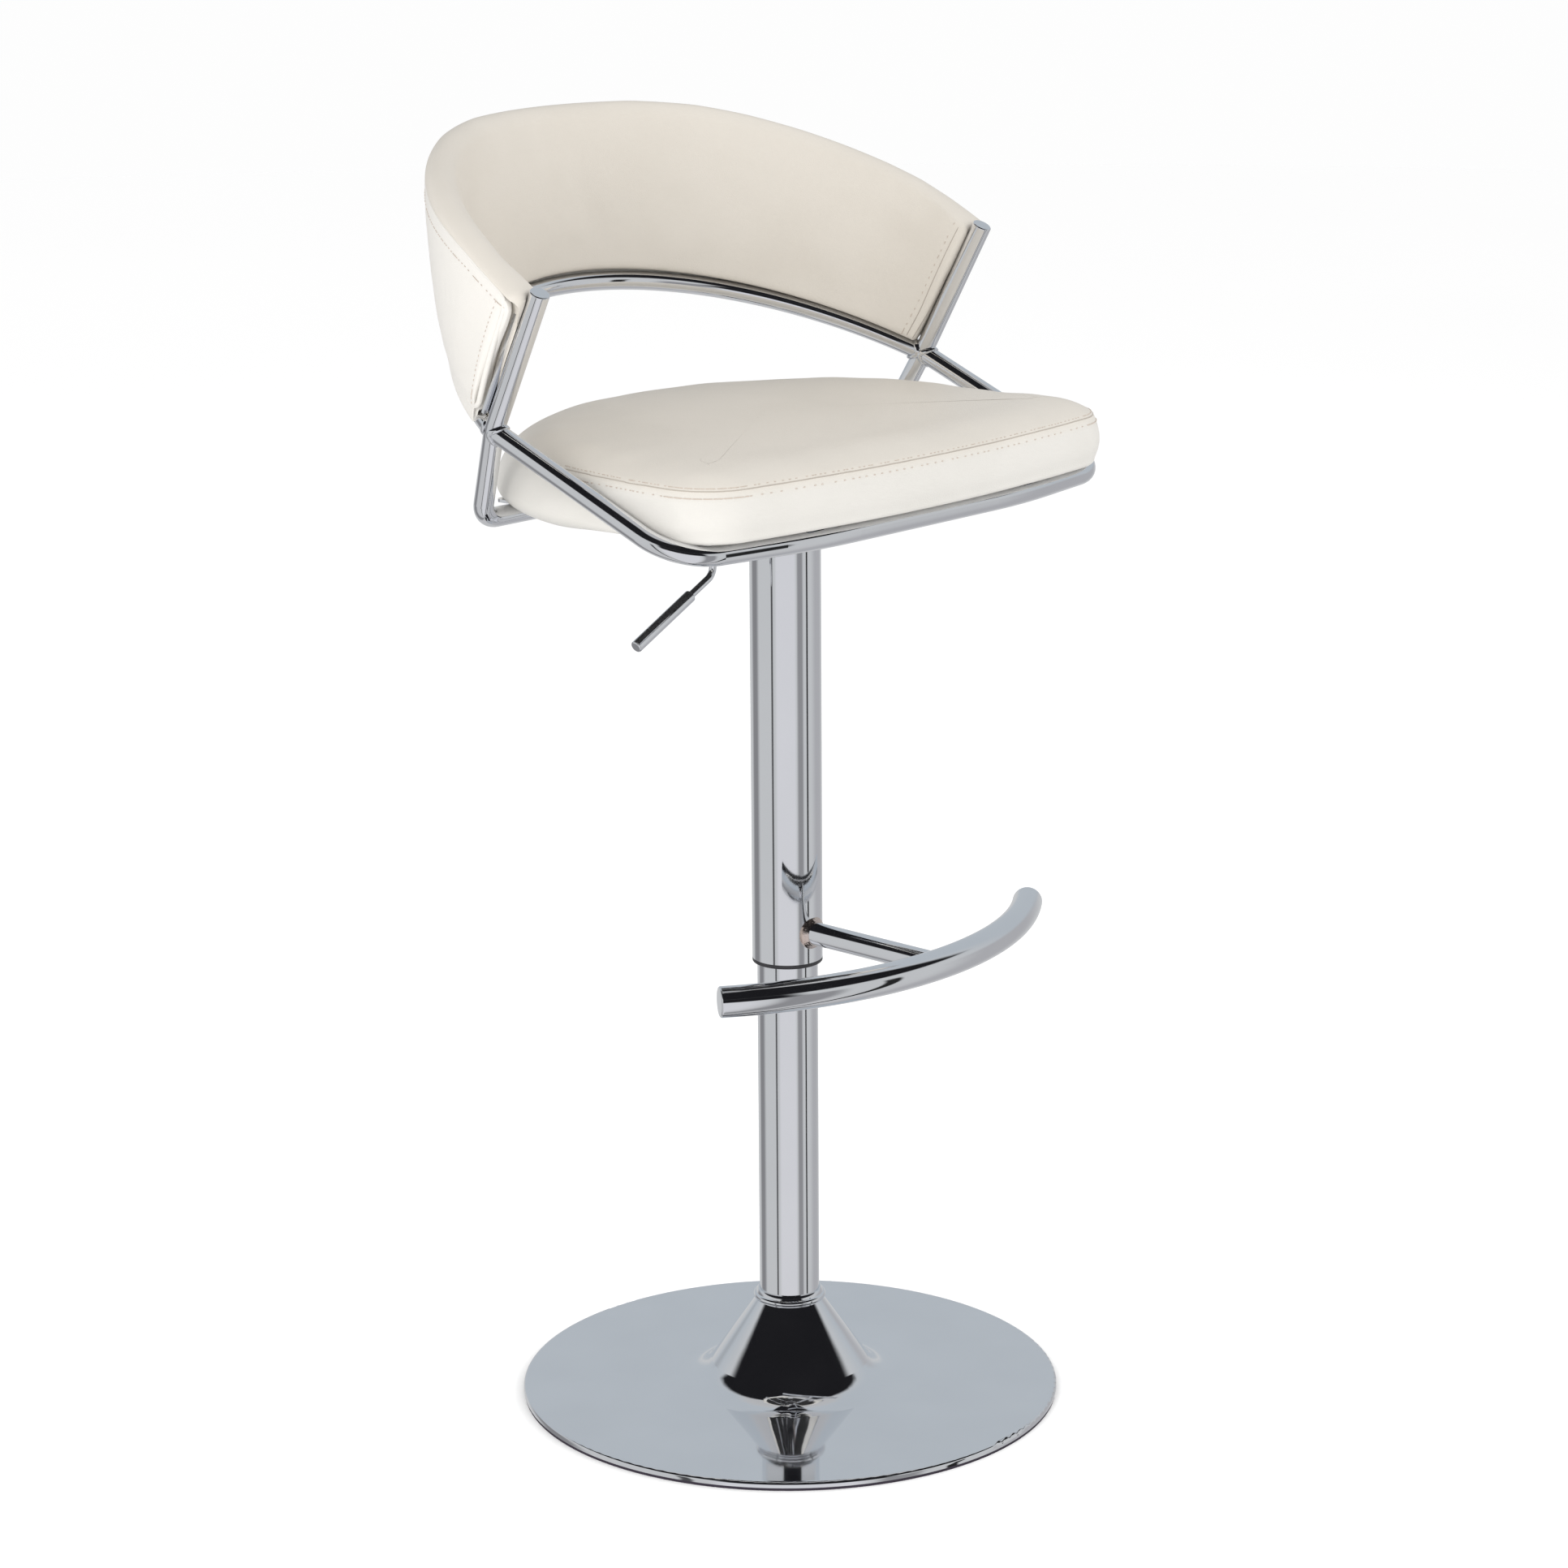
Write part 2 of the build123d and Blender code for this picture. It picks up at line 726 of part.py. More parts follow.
with BuildPart() as lever_grip:
    with BuildSketch(grip_plane.offset(grip_lip)):
        Circle(grip_radius)
    extrude(amount=-grip_length)
    fillet(lever_grip.edges().filter_by(GeomType.CIRCLE), 1.2)
    with BuildSketch(grip_plane.offset(grip_lip - grip_length)):
        Circle(lever_rod_radius + fixed_gap)
    extrude(amount=grip_length - grip_lip, mode=Mode.SUBTRACT)
save(lever_grip, "lever_grip")

# ---- cushion -------------------------------------------------------------------------------------
# The outline is half an oval at the back, straight at the sides and bowed at the front.
# Each quarter of the oval is a curve whose end tangents pull this share of its half-axes.
oval_pull = 0.5523


def seat_outline(inset):
    """The cushion's outline seen from above, drawn smaller by the inset all round."""
    half_width = cushion_half_width - inset
    depth = cushion_depth - inset
    front_side = cushion_front_side + inset
    with BuildSketch() as outline:
        with BuildLine():
            right_rear = Bezier(
                (half_width, 0),
                (half_width, oval_pull * depth),
                (oval_pull * half_width, depth),
                (0, depth),
            )
            mirror(right_rear, about=Plane.YZ)
            left_edge = Line((-half_width, 0), (-half_width, front_side))
            right_edge = Line((half_width, 0), (half_width, front_side))
            ThreePointArc(left_edge @ 1, (0, cushion_front_middle + inset), right_edge @ 1)
        make_face()
        fillet(outline.vertices().group_by(Axis.Y)[0], cushion_corner - inset)
    return outline.sketch


board_inset = 14.0
pocket_inset = 12.0
pocket_top = board_top + fit_gap

# Flat tabs, welded on top of the level tubes, that the board is screwed down to.
tab_thickness = 2.5
tab_width = 34.0
tab_length = 60.0
tab_top = board_bottom
rear_tab_x, rear_tab_y = 188.0, 92.0
front_tab_x, front_tab_y = 120.0, -118.0
tab_screw_radius = 2.5
tab_screw_head = 2.0
rear_tabs = [(rear_tab_x, rear_tab_y), (-rear_tab_x, rear_tab_y)]
front_tabs = [(front_tab_x, front_tab_y), (-front_tab_x, front_tab_y)]
tab_spots = rear_tabs + front_tabs
screw_spots = [(x, y - 13.0) for x, y in rear_tabs] + [(x, y + 9.0) for x, y in front_tabs]

with BuildPart() as seat_cushion:
    with BuildSketch(Plane.XY.offset(seat_underside)):
        add(seat_outline(0))
    extrude(amount=seat_top - seat_underside)
    fillet(seat_cushion.faces().sort_by(Axis.Z)[-1].edges(), 18.0)
    with BuildSketch(Plane.XY.offset(seat_underside)):
        add(seat_outline(pocket_inset))
    extrude(amount=pocket_top - seat_underside, mode=Mode.SUBTRACT)
    add(rear_clearance.part, mode=Mode.SUBTRACT)
    add(front_clearance.part, mode=Mode.SUBTRACT)
    with BuildSketch(Plane.XY.offset(seat_underside)):
        with Locations(*tab_spots):
            Rectangle(tab_width + 2 * fit_gap, tab_length + 2 * fit_gap)
    extrude(amount=tab_top - seat_underside, mode=Mode.SUBTRACT)
    keep = seat_cushion.solids().sort_by(SortBy.VOLUME)[-1]
    add(keep, mode=Mode.INTERSECT)
save(seat_cushion, "seat_cushion")

with BuildPart() as seat_board:
    with BuildSketch(Plane.XY.offset(board_bottom)):
        add(seat_outline(board_inset))
    extrude(amount=board_top - board_bottom)
    with BuildSketch(Plane.XY.offset(board_bottom)):
        with GridLocations(2 * mount_bolt_x, 2 * mount_bolt_y, 2, 2):
            Circle(board_bolt_radius + fixed_gap)
    extrude(amount=board_top - board_bottom, mode=Mode.SUBTRACT)
save(seat_board, "seat_board")

with BuildPart() as mount_tabs:
    with BuildSketch(Plane.XY.offset(tab_top - tab_thickness)):
        with Locations(*tab_spots):
            RectangleRounded(tab_width, tab_length, 6.0)
        with Locations(*screw_spots):
            Circle(tab_screw_radius + bolt_slack, mode=Mode.SUBTRACT)
    extrude(amount=tab_thickness)
    add(rear_clearance.part, mode=Mode.SUBTRACT)
    add(front_clearance.part, mode=Mode.SUBTRACT)
save(mount_tabs, "mount_tabs")

with BuildPart() as tab_screws:
    for x, y in screw_spots:
        with BuildSketch(Plane.XY.offset(tab_top - tab_thickness - tab_screw_head)):
            with Locations((x, y)):
                Circle(2 * tab_screw_radius)
        extrude(amount=tab_screw_head)
        with BuildSketch(Plane.XY.offset(tab_top - tab_thickness)):
            with Locations((x, y)):
                Circle(tab_screw_radius)
        extrude(amount=tab_thickness)
save(tab_screws, "tab_screws")

# ---- back ----------------------------------------------------------------------------------------
# The upholstery, its board and its outer cover are rings about one upright axis, trimmed to one
# outline seen from the side. The outline stands on the back tube and stops short of the uprights.
upright = Vector(0, cap_point[1] - joint_point[1], cap_point[2] - joint_point[2]).normalized()
upright_normal = Vector(0, upright.Z, -upright.Y)
joint_side = Vector(0, joint_point[1], joint_point[2])
back_slope = (back_middle[2] - joint_point[2]) / (back_middle[1] - joint_point[1])
outline_back = 300.0  # behind everything


def tube_line(y, above):
    """Height of a line parallel to the back tube's centre line, seen from the side."""
    return joint_point[2] + back_slope * (y - joint_point[1]) + above * hypot(1, back_slope)


def end_line_y(height, gap):
    """Where a line parallel to the upright, gap behind its centre, is at this height."""
    foot = joint_side + upright_normal * gap
    return foot.Y + upright.Y * (height - foot.Z) / upright.Z


def lower_corner(gap, above):
    """The pad's lower corner: where the end line meets the line above the tube."""
    foot = joint_side + upright_normal * gap
    base = tube_line(0, above)
    recline = upright.Y / upright.Z
    height = (base + back_slope * (foot.Y - recline * foot.Z)) / (1 - back_slope * recline)
    return (end_line_y(height, gap), height)


def side_outline(above, gap, trim, corner_radius):
    """The outline as a sketch on the YZ plane: raised above the tube, trimmed at the top."""
    top_points = [(y, z - trim) for y, z in back_top_outline]
    top_points[0] = (end_line_y(top_points[0][1], gap), top_points[0][1])
    with BuildSketch(Plane.YZ) as outline:
        with BuildLine():
            top = Spline(*top_points)
            Polyline(
                top @ 1,
                (outline_back, top_points[-1][1]),
                (outline_back, tube_line(outline_back, above)),
                lower_corner(gap, above),
                top @ 0,
            )
        make_face()
        upper = outline.vertices().group_by(Axis.Y)[0]
        lower = outline.vertices().sort_by_distance(Vector(0, *lower_corner(gap, above)))[:1]
        fillet(upper + lower, corner_radius)
    return outline.sketch


pad_lift = frame_radius + fit_gap
cover_drop = 4.0
shell_floor, shell_ceiling = 820.0, 1080.0
board_shrink = 7.0
lean = Vector(0, back_lean, 1)
shell_floor_y = back_middle[1] - back_half_depth - back_lean * (back_middle[2] - shell_floor)


def back_layer(inside, outside, outline):
    """One layer of the leaning shell, measured out from its middle, trimmed to an outline."""
    with BuildPart() as layer:
        with BuildSketch(Plane.XY.offset(shell_floor)):
            with Locations((0, shell_floor_y)):
                Ellipse(back_half_width + outside, back_half_depth + outside)
                Ellipse(back_half_width + inside, back_half_depth + inside, mode=Mode.SUBTRACT)
        extrude(amount=(shell_ceiling - shell_floor) * lean.length, dir=lean.normalized())
        extrude(outline, amount=back_half_width + 2 * cover_outside, both=True, mode=Mode.INTERSECT)
    return layer.part


pad_outline = side_outline(pad_lift, end_gap, 0.0, 9.0)
cover_outline = side_outline(-cover_drop, end_gap, 0.0, 9.0)
core_outline = side_outline(pad_lift + board_shrink, end_gap + board_shrink, board_shrink, 5.0)

with BuildPart() as back_pad:
    add(back_layer(pad_inside, board_inside, pad_outline))
save(back_pad, "back_pad")

with BuildPart() as back_board:
    add(back_layer(board_inside, board_outside, core_outline))
save(back_board, "back_board")

# Below the pad the cover thins to a skirt that hangs behind the tube.
with BuildSketch(Plane.YZ) as under_pad:
    with BuildLine():
        Polyline(
            (0, tube_line(0, pad_lift)),
            (outline_back, tube_line(outline_back, pad_lift)),
            (outline_back, shell_floor),
            (0, shell_floor),
            close=True,
        )
    make_face()

with BuildPart() as back_cover:
    add(back_layer(board_outside, cover_outside, cover_outline))
    add(back_layer(pad_inside, skirt_inside, under_pad.sketch), mode=Mode.SUBTRACT)
    add(back_clearance.part, mode=Mode.SUBTRACT)
    keep = back_cover.solids().sort_by(SortBy.VOLUME)[-1]
    add(keep, mode=Mode.INTERSECT)
save(back_cover, "back_cover")

# A chromed strip closes the gap between each upright and the end of the back.
strip_near, strip_far = frame_radius + fit_gap, end_gap - fit_gap
strip_low, strip_high = 12.0, 112.0
strip_width = 17.0
upright_frames = [
    Plane(origin=foot, x_dir=(1, 0, 0), z_dir=Vector(*top) - Vector(*foot))
    for foot, top in (
        (joint_point, cap_point),
        (mirrored(joint_point), mirrored(cap_point)),
    )
]

with BuildPart() as back_end_strips:
    for frame_plane in upright_frames:
        with BuildSketch(frame_plane.offset(strip_low)):
            with Locations((0, (strip_near + strip_far) / 2)):
                Rectangle(strip_width, strip_far - strip_near)
        extrude(amount=strip_high - strip_low)
save(back_end_strips, "back_end_strips")
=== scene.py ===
import json
import math

import bmesh
import bpy
import numpy as np
from mathutils import Matrix, Vector
from mathutils.bvhtree import BVHTree
from mathutils.kdtree import KDTree


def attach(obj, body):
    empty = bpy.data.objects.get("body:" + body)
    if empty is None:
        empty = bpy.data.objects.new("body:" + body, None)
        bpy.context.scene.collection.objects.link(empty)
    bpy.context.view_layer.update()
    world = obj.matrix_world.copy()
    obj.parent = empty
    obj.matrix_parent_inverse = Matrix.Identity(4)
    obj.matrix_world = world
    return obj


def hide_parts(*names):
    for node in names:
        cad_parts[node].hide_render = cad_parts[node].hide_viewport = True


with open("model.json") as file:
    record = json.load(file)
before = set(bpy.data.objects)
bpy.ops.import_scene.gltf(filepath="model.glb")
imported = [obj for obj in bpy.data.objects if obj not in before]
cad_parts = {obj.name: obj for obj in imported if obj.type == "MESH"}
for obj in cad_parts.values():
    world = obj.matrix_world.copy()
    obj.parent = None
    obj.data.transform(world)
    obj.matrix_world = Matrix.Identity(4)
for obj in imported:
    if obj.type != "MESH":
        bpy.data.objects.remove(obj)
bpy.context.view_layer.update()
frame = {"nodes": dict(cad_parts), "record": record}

# ---- sizes in metres, as in the CAD model ------------------------------------------------------
# cushion, seen from above
SEAT_HALF_WIDTH = 0.2446
SEAT_DEPTH = 0.217
SEAT_FRONT_MIDDLE = -0.165
SEAT_FRONT_SIDE = -0.146
SEAT_CORNER = 0.049
SEAT_CENTRE_Y = 0.02
# cushion, from the side
SEAM_HEIGHT = 0.8165
SEAM_INSET = 0.0025
CROWN_HEIGHT = 0.8285
CROWN_WIDTH = 0.06
CROWN_EXTRA = 0.0016
BAND_BULGE = 0.0045
EDGE_ROUND = 0.0050
EDGE_INSET = 0.0065
REAR_ROUND = 0.052
REAR_WIDEST = 0.785
FRONT_UNDERSIDE = 0.7748
REAR_UNDERSIDE = 0.765
# the black cover on the underside: its half depth, and how much of the underside it takes
DUST_COVER_DEPTH = 0.19
DUST_COVER_REACH = 0.86

# back: a leaning oval shell; "out" below is the distance from its middle surface
BACK_HALF_WIDTH = 0.2635
BACK_HALF_DEPTH = 0.2455
BACK_LEAN = 0.145
BACK_CENTRE_Y = -0.0015
BACK_CENTRE_Z = 0.912
TOP_LINE = [(0.020, 0.9545), (0.053, 0.974), (0.078, 0.988), (0.106, 1.001), (0.136, 1.014),
            (0.167, 1.027), (0.202, 1.041), (0.227, 1.050), (0.251, 1.056), (0.29, 1.060)]
JOINT_X, JOINT_Y, JOINT_Z = 0.253, 0.071, 0.842
CAP_X, CAP_Y, CAP_Z = 0.259, 0.012, 0.953
TUBE_RADIUS = 0.008
BACK_MIDDLE_Y, BACK_MIDDLE_Z = 0.244, 0.912
SIDE_FRONT_Y, SIDE_FRONT_Z = -0.123, 0.7655
BACK_TURN_IN = 0.10
PAD_LIFT = 0.0086
TOP_SEAM_DROP = 0.0171
# out of the middle surface: the pad's face, the two faces of the cover, and its skirt's inside
INSIDE = -0.009
BOARD = 0.0042
SKIRT_INSIDE = 0.0112
OUTSIDE = 0.0152
# its ends: the cover's and the pad's distance from an upright's centre line, how far the pad
# swells forward there, and how far from its own end the pad is sewn
END_GAP = 0.0115
PAD_END_GAP = 0.0052
END_SWELL = 0.0048
END_SEAMS = (0.0035, 0.0096)
END_STITCHES = 0.0140
# number of points round the cushion, and along a seam
CUSHION_POINTS = 280
SEAM_POINTS = 420

# camera: place, level direction, pitch down and roll in radians, and lens in millimetres
CAMERA_PLACE = (-2.5633, -2.3437, 1.4260)
CAMERA_AHEAD = (0.7376, 0.6752)
CAMERA_PITCH = 0.2540
CAMERA_ROLL = -0.0063
CAMERA_LENS = 100.84

# surroundings: the white that the camera sees, and the dark flags that the chrome reflects, each
# as lowest and highest azimuth and softness in degrees, and brightness
BACKDROP = 0.985
FLOOR_RADIUS = 9.0
FLAGS = (
    (-48.0, -42.0, 1.6, 0.08),
    (-135.0, -102.0, 9.0, 0.26),
    (-32.0, 32.0, 5.0, 0.72),
    (38.0, 57.0, 4.0, 0.30),
    (70.0, 76.0, 1.0, 0.02),
    (100.0, 150.0, 14.0, 0.46),
)


# ---- node helpers ------------------------------------------------------------------------------
class Nodes:
    """Short calls for making the nodes of one material or world."""

    def __init__(self, tree):
        self.tree = tree
        tree.nodes.clear()

    def add(self, kind, inputs=None, **settings):
        node = self.tree.nodes.new(kind)
        for name, value in settings.items():
            setattr(node, name, value)
        for name, value in (inputs or {}).items():
            self.put(node.inputs[name], value)
        return node

    def put(self, socket, value):
        if isinstance(value, bpy.types.NodeSocket):
            self.tree.links.new(value, socket)
        else:
            socket.default_value = value

    def math(self, operation, a, b=0.0, clamp=False):
        node = self.add("ShaderNodeMath", {0: a, 1: b}, operation=operation)
        node.use_clamp = clamp
        return node.outputs[0]

    def spread(self, value, low, high, to_low=0.0, to_high=1.0):
        """Maps a value smoothly from one range to another."""
        ends = {"From Min": low, "From Max": high, "To Min": to_low, "To Max": to_high}
        node = self.add(
            "ShaderNodeMapRange", {"Value": value, **ends}, interpolation_type="SMOOTHSTEP"
        )
        return node.outputs["Result"]

    def mix(self, factor, a, b):
        node = self.add("ShaderNodeMix", data_type="RGBA")
        self.put(node.inputs[0], factor)
        self.put(node.inputs[6], a)
        self.put(node.inputs[7], b)
        return node.outputs[2]

    def noise(self, place, scale, detail=3.0, roughness=0.5):
        return self.add(
            "ShaderNodeTexNoise",
            {"Vector": place, "Scale": scale, "Detail": detail, "Roughness": roughness},
        ).outputs["Fac"]

    def bump(self, height, strength, distance, normal=None):
        settings = {"Height": height, "Strength": strength, "Distance": distance}
        node = self.add("ShaderNodeBump", settings)
        if normal is not None:
            self.put(node.inputs["Normal"], normal)
        return node.outputs["Normal"]


def colour(r, g, b):
    return (r, g, b, 1.0)


def material(name, build, **constants):
    """A Principled material: build() gives the linked sockets, constants are set directly."""
    made = bpy.data.materials.new(name)
    made.use_nodes = True
    nodes = Nodes(made.node_tree)
    shader = nodes.add("ShaderNodeBsdfPrincipled")
    for socket, value in constants.items():
        shader.inputs[socket.replace("_", " ")].default_value = value
    place = nodes.add("ShaderNodeTexCoord").outputs["Object"]
    for socket, value in build(nodes, place).items():
        nodes.put(shader.inputs[socket], value)
    output = nodes.add("ShaderNodeOutputMaterial")
    made.node_tree.links.new(shader.outputs[0], output.inputs["Surface"])
    return made


def chrome_look(nodes, place):
    smear = nodes.noise(place, 14.0, 4.0)
    waves = nodes.noise(place, 9.0, 1.0)
    return {
        "Base Color": nodes.mix(smear, colour(0.80, 0.81, 0.83), colour(0.87, 0.88, 0.90)),
        "Roughness": nodes.spread(smear, 0.35, 0.7, 0.035, 0.075),
        "Normal": nodes.bump(waves, 0.10, 0.004),
    }


def zinc_look(nodes, place):
    grain = nodes.noise(place, 260.0, 5.0)
    cloud = nodes.noise(place, 30.0, 3.0)
    return {
        "Base Color": nodes.mix(cloud, colour(0.50, 0.50, 0.49), colour(0.66, 0.66, 0.67)),
        "Roughness": nodes.spread(grain, 0.3, 0.7, 0.28, 0.42),
        "Normal": nodes.bump(grain, 0.12, 0.0004),
    }


def weld_look(nodes, place):
    ripple = nodes.noise(place, 420.0, 2.0)
    tint = nodes.noise(place, 90.0, 2.0)
    return {
        "Base Color": nodes.mix(tint, colour(0.62, 0.44, 0.34), colour(0.80, 0.76, 0.74)),
        "Roughness": nodes.spread(ripple, 0.3, 0.7, 0.12, 0.30),
        "Normal": nodes.bump(ripple, 0.5, 0.0008),
    }


def powder_look(nodes, place):
    peel = nodes.noise(place, 700.0, 3.0)
    dust = nodes.noise(place, 22.0, 4.0)
    return {
        "Base Color": nodes.mix(dust, colour(0.018, 0.018, 0.020), colour(0.034, 0.034, 0.036)),
        "Roughness": nodes.spread(dust, 0.3, 0.7, 0.38, 0.52),
        "Normal": nodes.bump(peel, 0.25, 0.0004),
    }


def casting_look(nodes, place):
    sand = nodes.noise(place, 380.0, 6.0, 0.7)
    cloud = nodes.noise(place, 26.0, 4.0)
    return {
        "Base Color": nodes.mix(cloud, colour(0.05, 0.05, 0.052), colour(0.10, 0.098, 0.095)),
        "Roughness": nodes.spread(sand, 0.2, 0.8, 0.58, 0.80),
        "Normal": nodes.bump(sand, 0.6, 0.0010),
    }


def plastic_look(nodes, place):
    texture = nodes.noise(place, 900.0, 2.0)
    return {
        "Base Color": nodes.mix(texture, colour(0.016, 0.016, 0.018), colour(0.028, 0.028, 0.031)),
        "Roughness": nodes.spread(texture, 0.3, 0.7, 0.34, 0.46),
        "Normal": nodes.bump(texture, 0.12, 0.0002),
    }


def rubber_look(nodes, place):
    texture = nodes.noise(place, 500.0, 4.0)
    return {
        "Base Color": nodes.mix(texture, colour(0.020, 0.014, 0.026), colour(0.040, 0.030, 0.048)),
        "Roughness": nodes.spread(texture, 0.3, 0.7, 0.55, 0.75),
        "Normal": nodes.bump(texture, 0.25, 0.0003),
    }


def leather_look(dark, light):
    """Leatherette: fine pebbled grain with pores, a slightly blotchy tint and uneven gloss."""

    def build(nodes, place):
        pebbles = nodes.add(
            "ShaderNodeTexVoronoi", {"Vector": place, "Scale": 620.0}, feature="DISTANCE_TO_EDGE"
        ).outputs["Distance"]
        pores = nodes.noise(place, 1500.0, 2.0)
        blotches = nodes.noise(place, 7.0, 3.0)
        folds = nodes.noise(place, 34.0, 3.0)
        pits = nodes.math("MULTIPLY", pores, 0.4)
        grain = nodes.math("ADD", nodes.spread(pebbles, 0.0, 0.35), pits)
        coarse = nodes.bump(folds, 0.10, 0.0012)
        return {
            "Base Color": nodes.mix(nodes.spread(blotches, 0.3, 0.7), dark, light),
            "Roughness": nodes.spread(pores, 0.3, 0.7, 0.40, 0.52),
            "Normal": nodes.bump(grain, 0.22, 0.00022, coarse),
        }

    return build


def seat_leather_painted_light_look(nodes, place):
    """The top panel is painted a little warmer and darker than the band sewn round it: shaded and
    lit tints of one leather, painted shade and light.
    """
    top = leather_look(colour(0.580, 0.545, 0.490), colour(0.615, 0.578, 0.522))(nodes, place)
    # painted light: the band below the seam is a lighter, cooler copy of the top's leather
    band = leather_look(colour(0.580, 0.563, 0.527), colour(0.615, 0.597, 0.562))(nodes, place)
    height = nodes.add("ShaderNodeSeparateXYZ", {0: place}).outputs["Z"]
    panel = nodes.spread(height, SEAM_HEIGHT - 0.010, SEAM_HEIGHT + 0.001)
    top["Base Color"] = nodes.mix(panel, band["Base Color"], top["Base Color"])
    return top


def dust_cover_look(nodes, place):
    fibres = nodes.noise(place, 1200.0, 4.0, 0.7)
    cloud = nodes.noise(place, 40.0, 3.0)
    return {
        "Base Color": nodes.mix(cloud, colour(0.014, 0.014, 0.015), colour(0.028, 0.027, 0.027)),
        "Roughness": nodes.spread(fibres, 0.3, 0.7, 0.78, 0.92),
        "Normal": nodes.bump(fibres, 0.5, 0.0003),
    }


def thread_look(nodes, place):
    twist = nodes.noise(place, 2600.0, 1.0)
    return {
        "Base Color": nodes.mix(twist, colour(0.46, 0.39, 0.33), colour(0.58, 0.50, 0.43)),
        "Roughness": nodes.spread(twist, 0.3, 0.7, 0.6, 0.8),
        "Normal": nodes.bump(twist, 0.4, 0.0002),
    }


def floor_look(nodes, place):
    cloud = nodes.noise(place, 0.8, 2.0)
    return {
        "Base Color": nodes.mix(cloud, colour(0.972, 0.972, 0.972), colour(0.982, 0.982, 0.982)),
        "Roughness": nodes.spread(cloud, 0.2, 0.8, 0.8, 0.9),
    }


CHROME = material("chrome_plate", chrome_look, Metallic=1.0)
ZINC = material("zinc_steel", zinc_look, Metallic=1.0)
WELD = material("polished_weld", weld_look, Metallic=1.0)
POWDER = material("black_powder_coat", powder_look)
CASTING = material("cast_weight", casting_look)
PLASTIC = material("black_nylon", plastic_look)
RUBBER = material("black_rubber", rubber_look)
DUST_COVER = material("black_dust_cover", dust_cover_look)
THREAD = material("sewing_thread", thread_look)
SEAT_LEATHER = material("ivory_leather_seat", seat_leather_painted_light_look, IOR=1.46)
# pad and cover are shaded and lit copies of one ivory leather: the pad darker and warmer on the
# inner face, the cover lighter and cooler on the outer face, painted shade and light
pad_look = leather_look(colour(0.575, 0.537, 0.480), colour(0.610, 0.572, 0.515))
cover_look = leather_look(colour(0.650, 0.628, 0.588), colour(0.684, 0.662, 0.624))
# the seams' valleys: a dark tint of the leather laid into each groove, painted shade
seam_shade_look = leather_look(colour(0.36, 0.32, 0.28), colour(0.42, 0.38, 0.33))
PAD_LEATHER = material("ivory_leather_pad", pad_look, IOR=1.46)
LIT_COVER_LEATHER = material("ivory_leather_cover_painted_light", cover_look, IOR=1.46)
SEAM_SHADOW = material("painted_seam_shade", seam_shade_look, IOR=1.45)

# the boards show only where the dust cover lies over them
SLOT_LOOKS = {
    "chrome": CHROME,
    "zinc_steel": ZINC,
    "black_steel": POWDER,
    "cast_weight": CASTING,
    "black_plastic": PLASTIC,
    "black_rubber": RUBBER,
    "ivory_leather": PAD_LEATHER,
    "plywood": DUST_COVER,
}


def dress_cad_nodes():
    """Every CAD node gets the look of its own material slot, and the footrest's weld its own."""
    slot_of = {part["node"]: part["material_slot"] for part in frame["record"]["subparts"]}
    for name, node in frame["nodes"].items():
        look = WELD if "weld" in name else SLOT_LOOKS[slot_of[name]]
        node.data.materials.clear()
        node.data.materials.append(look)


# ---- mesh helpers ------------------------------------------------------------------------------
def smooth_step(value, low, high):
    t = np.clip((np.asarray(value, float) - low) / (high - low), 0.0, 1.0)
    return t * t * (3 - 2 * t)


def resample(points, count, closed=False):
    """The same line with evenly spaced points."""
    line = np.asarray(points, float)
    if closed:
        line = np.vstack([line, line[:1]])
    steps = np.linalg.norm(np.diff(line, axis=0), axis=1)
    along = np.concatenate([[0.0], np.cumsum(steps)])
    wanted = np.linspace(0.0, along[-1], count + 1 if closed else count)
    if closed:
        wanted = wanted[:-1]
    return np.stack([np.interp(wanted, along, line[:, k]) for k in range(line.shape[1])], axis=1)


def new_object(name, vertices, faces, look, smooth=True):
    mesh = bpy.data.meshes.new(name)
    mesh.from_pydata([tuple(v) for v in vertices], [], [tuple(f) for f in faces])
    mesh.validate()
    mesh.update()
    if smooth:
        mesh.polygons.foreach_set("use_smooth", [True] * len(mesh.polygons))
    made = bpy.data.objects.new(name, mesh)
    bpy.context.scene.collection.objects.link(made)
    mesh.materials.append(look)
    return made


def ring_faces(rings, count, first=0):
    """Quads between neighbouring closed rings of the same number of points."""
    faces = []
    for i in range(rings - 1):
        for j in range(count):
            k = (j + 1) % count
            a, b = first + i * count, first + (i + 1) * count
            faces.append((a + j, a + k, b + k, b + j))
    return faces


def close_loop(vertices, faces, ring, centre, towards, shares, flip):
    """Closes a loop of points with smaller copies of it and a middle point."""
    count = len(ring)
    loop = np.array([vertices[i] for i in ring])
    previous = list(ring)
    for share in shares:
        start = len(vertices)
        vertices.extend(centre + (loop - centre) * share + towards * (1 - share ** 2))
        current = list(range(start, start + count))
        for j in range(count):
            k = (j + 1) % count
            quad = (previous[j], previous[k], current[k], current[j])
            faces.append(quad[::-1] if flip else quad)
        previous = current
    middle = len(vertices)
    vertices.append(centre + towards)
    for j in range(count):
        k = (j + 1) % count
        tri = (previous[j], previous[k], middle)
        faces.append(tri[::-1] if flip else tri)


def outward_normals(made):
    mesh = bmesh.new()
    mesh.from_mesh(made.data)
    bmesh.ops.recalc_face_normals(mesh, faces=mesh.faces)
    mesh.to_mesh(made.data)
    mesh.free()


def coordinates(mesh):
    flat = np.zeros(len(mesh.vertices) * 3, np.float32)
    mesh.vertices.foreach_get("co", flat)
    return flat.reshape(-1, 3).astype(float)


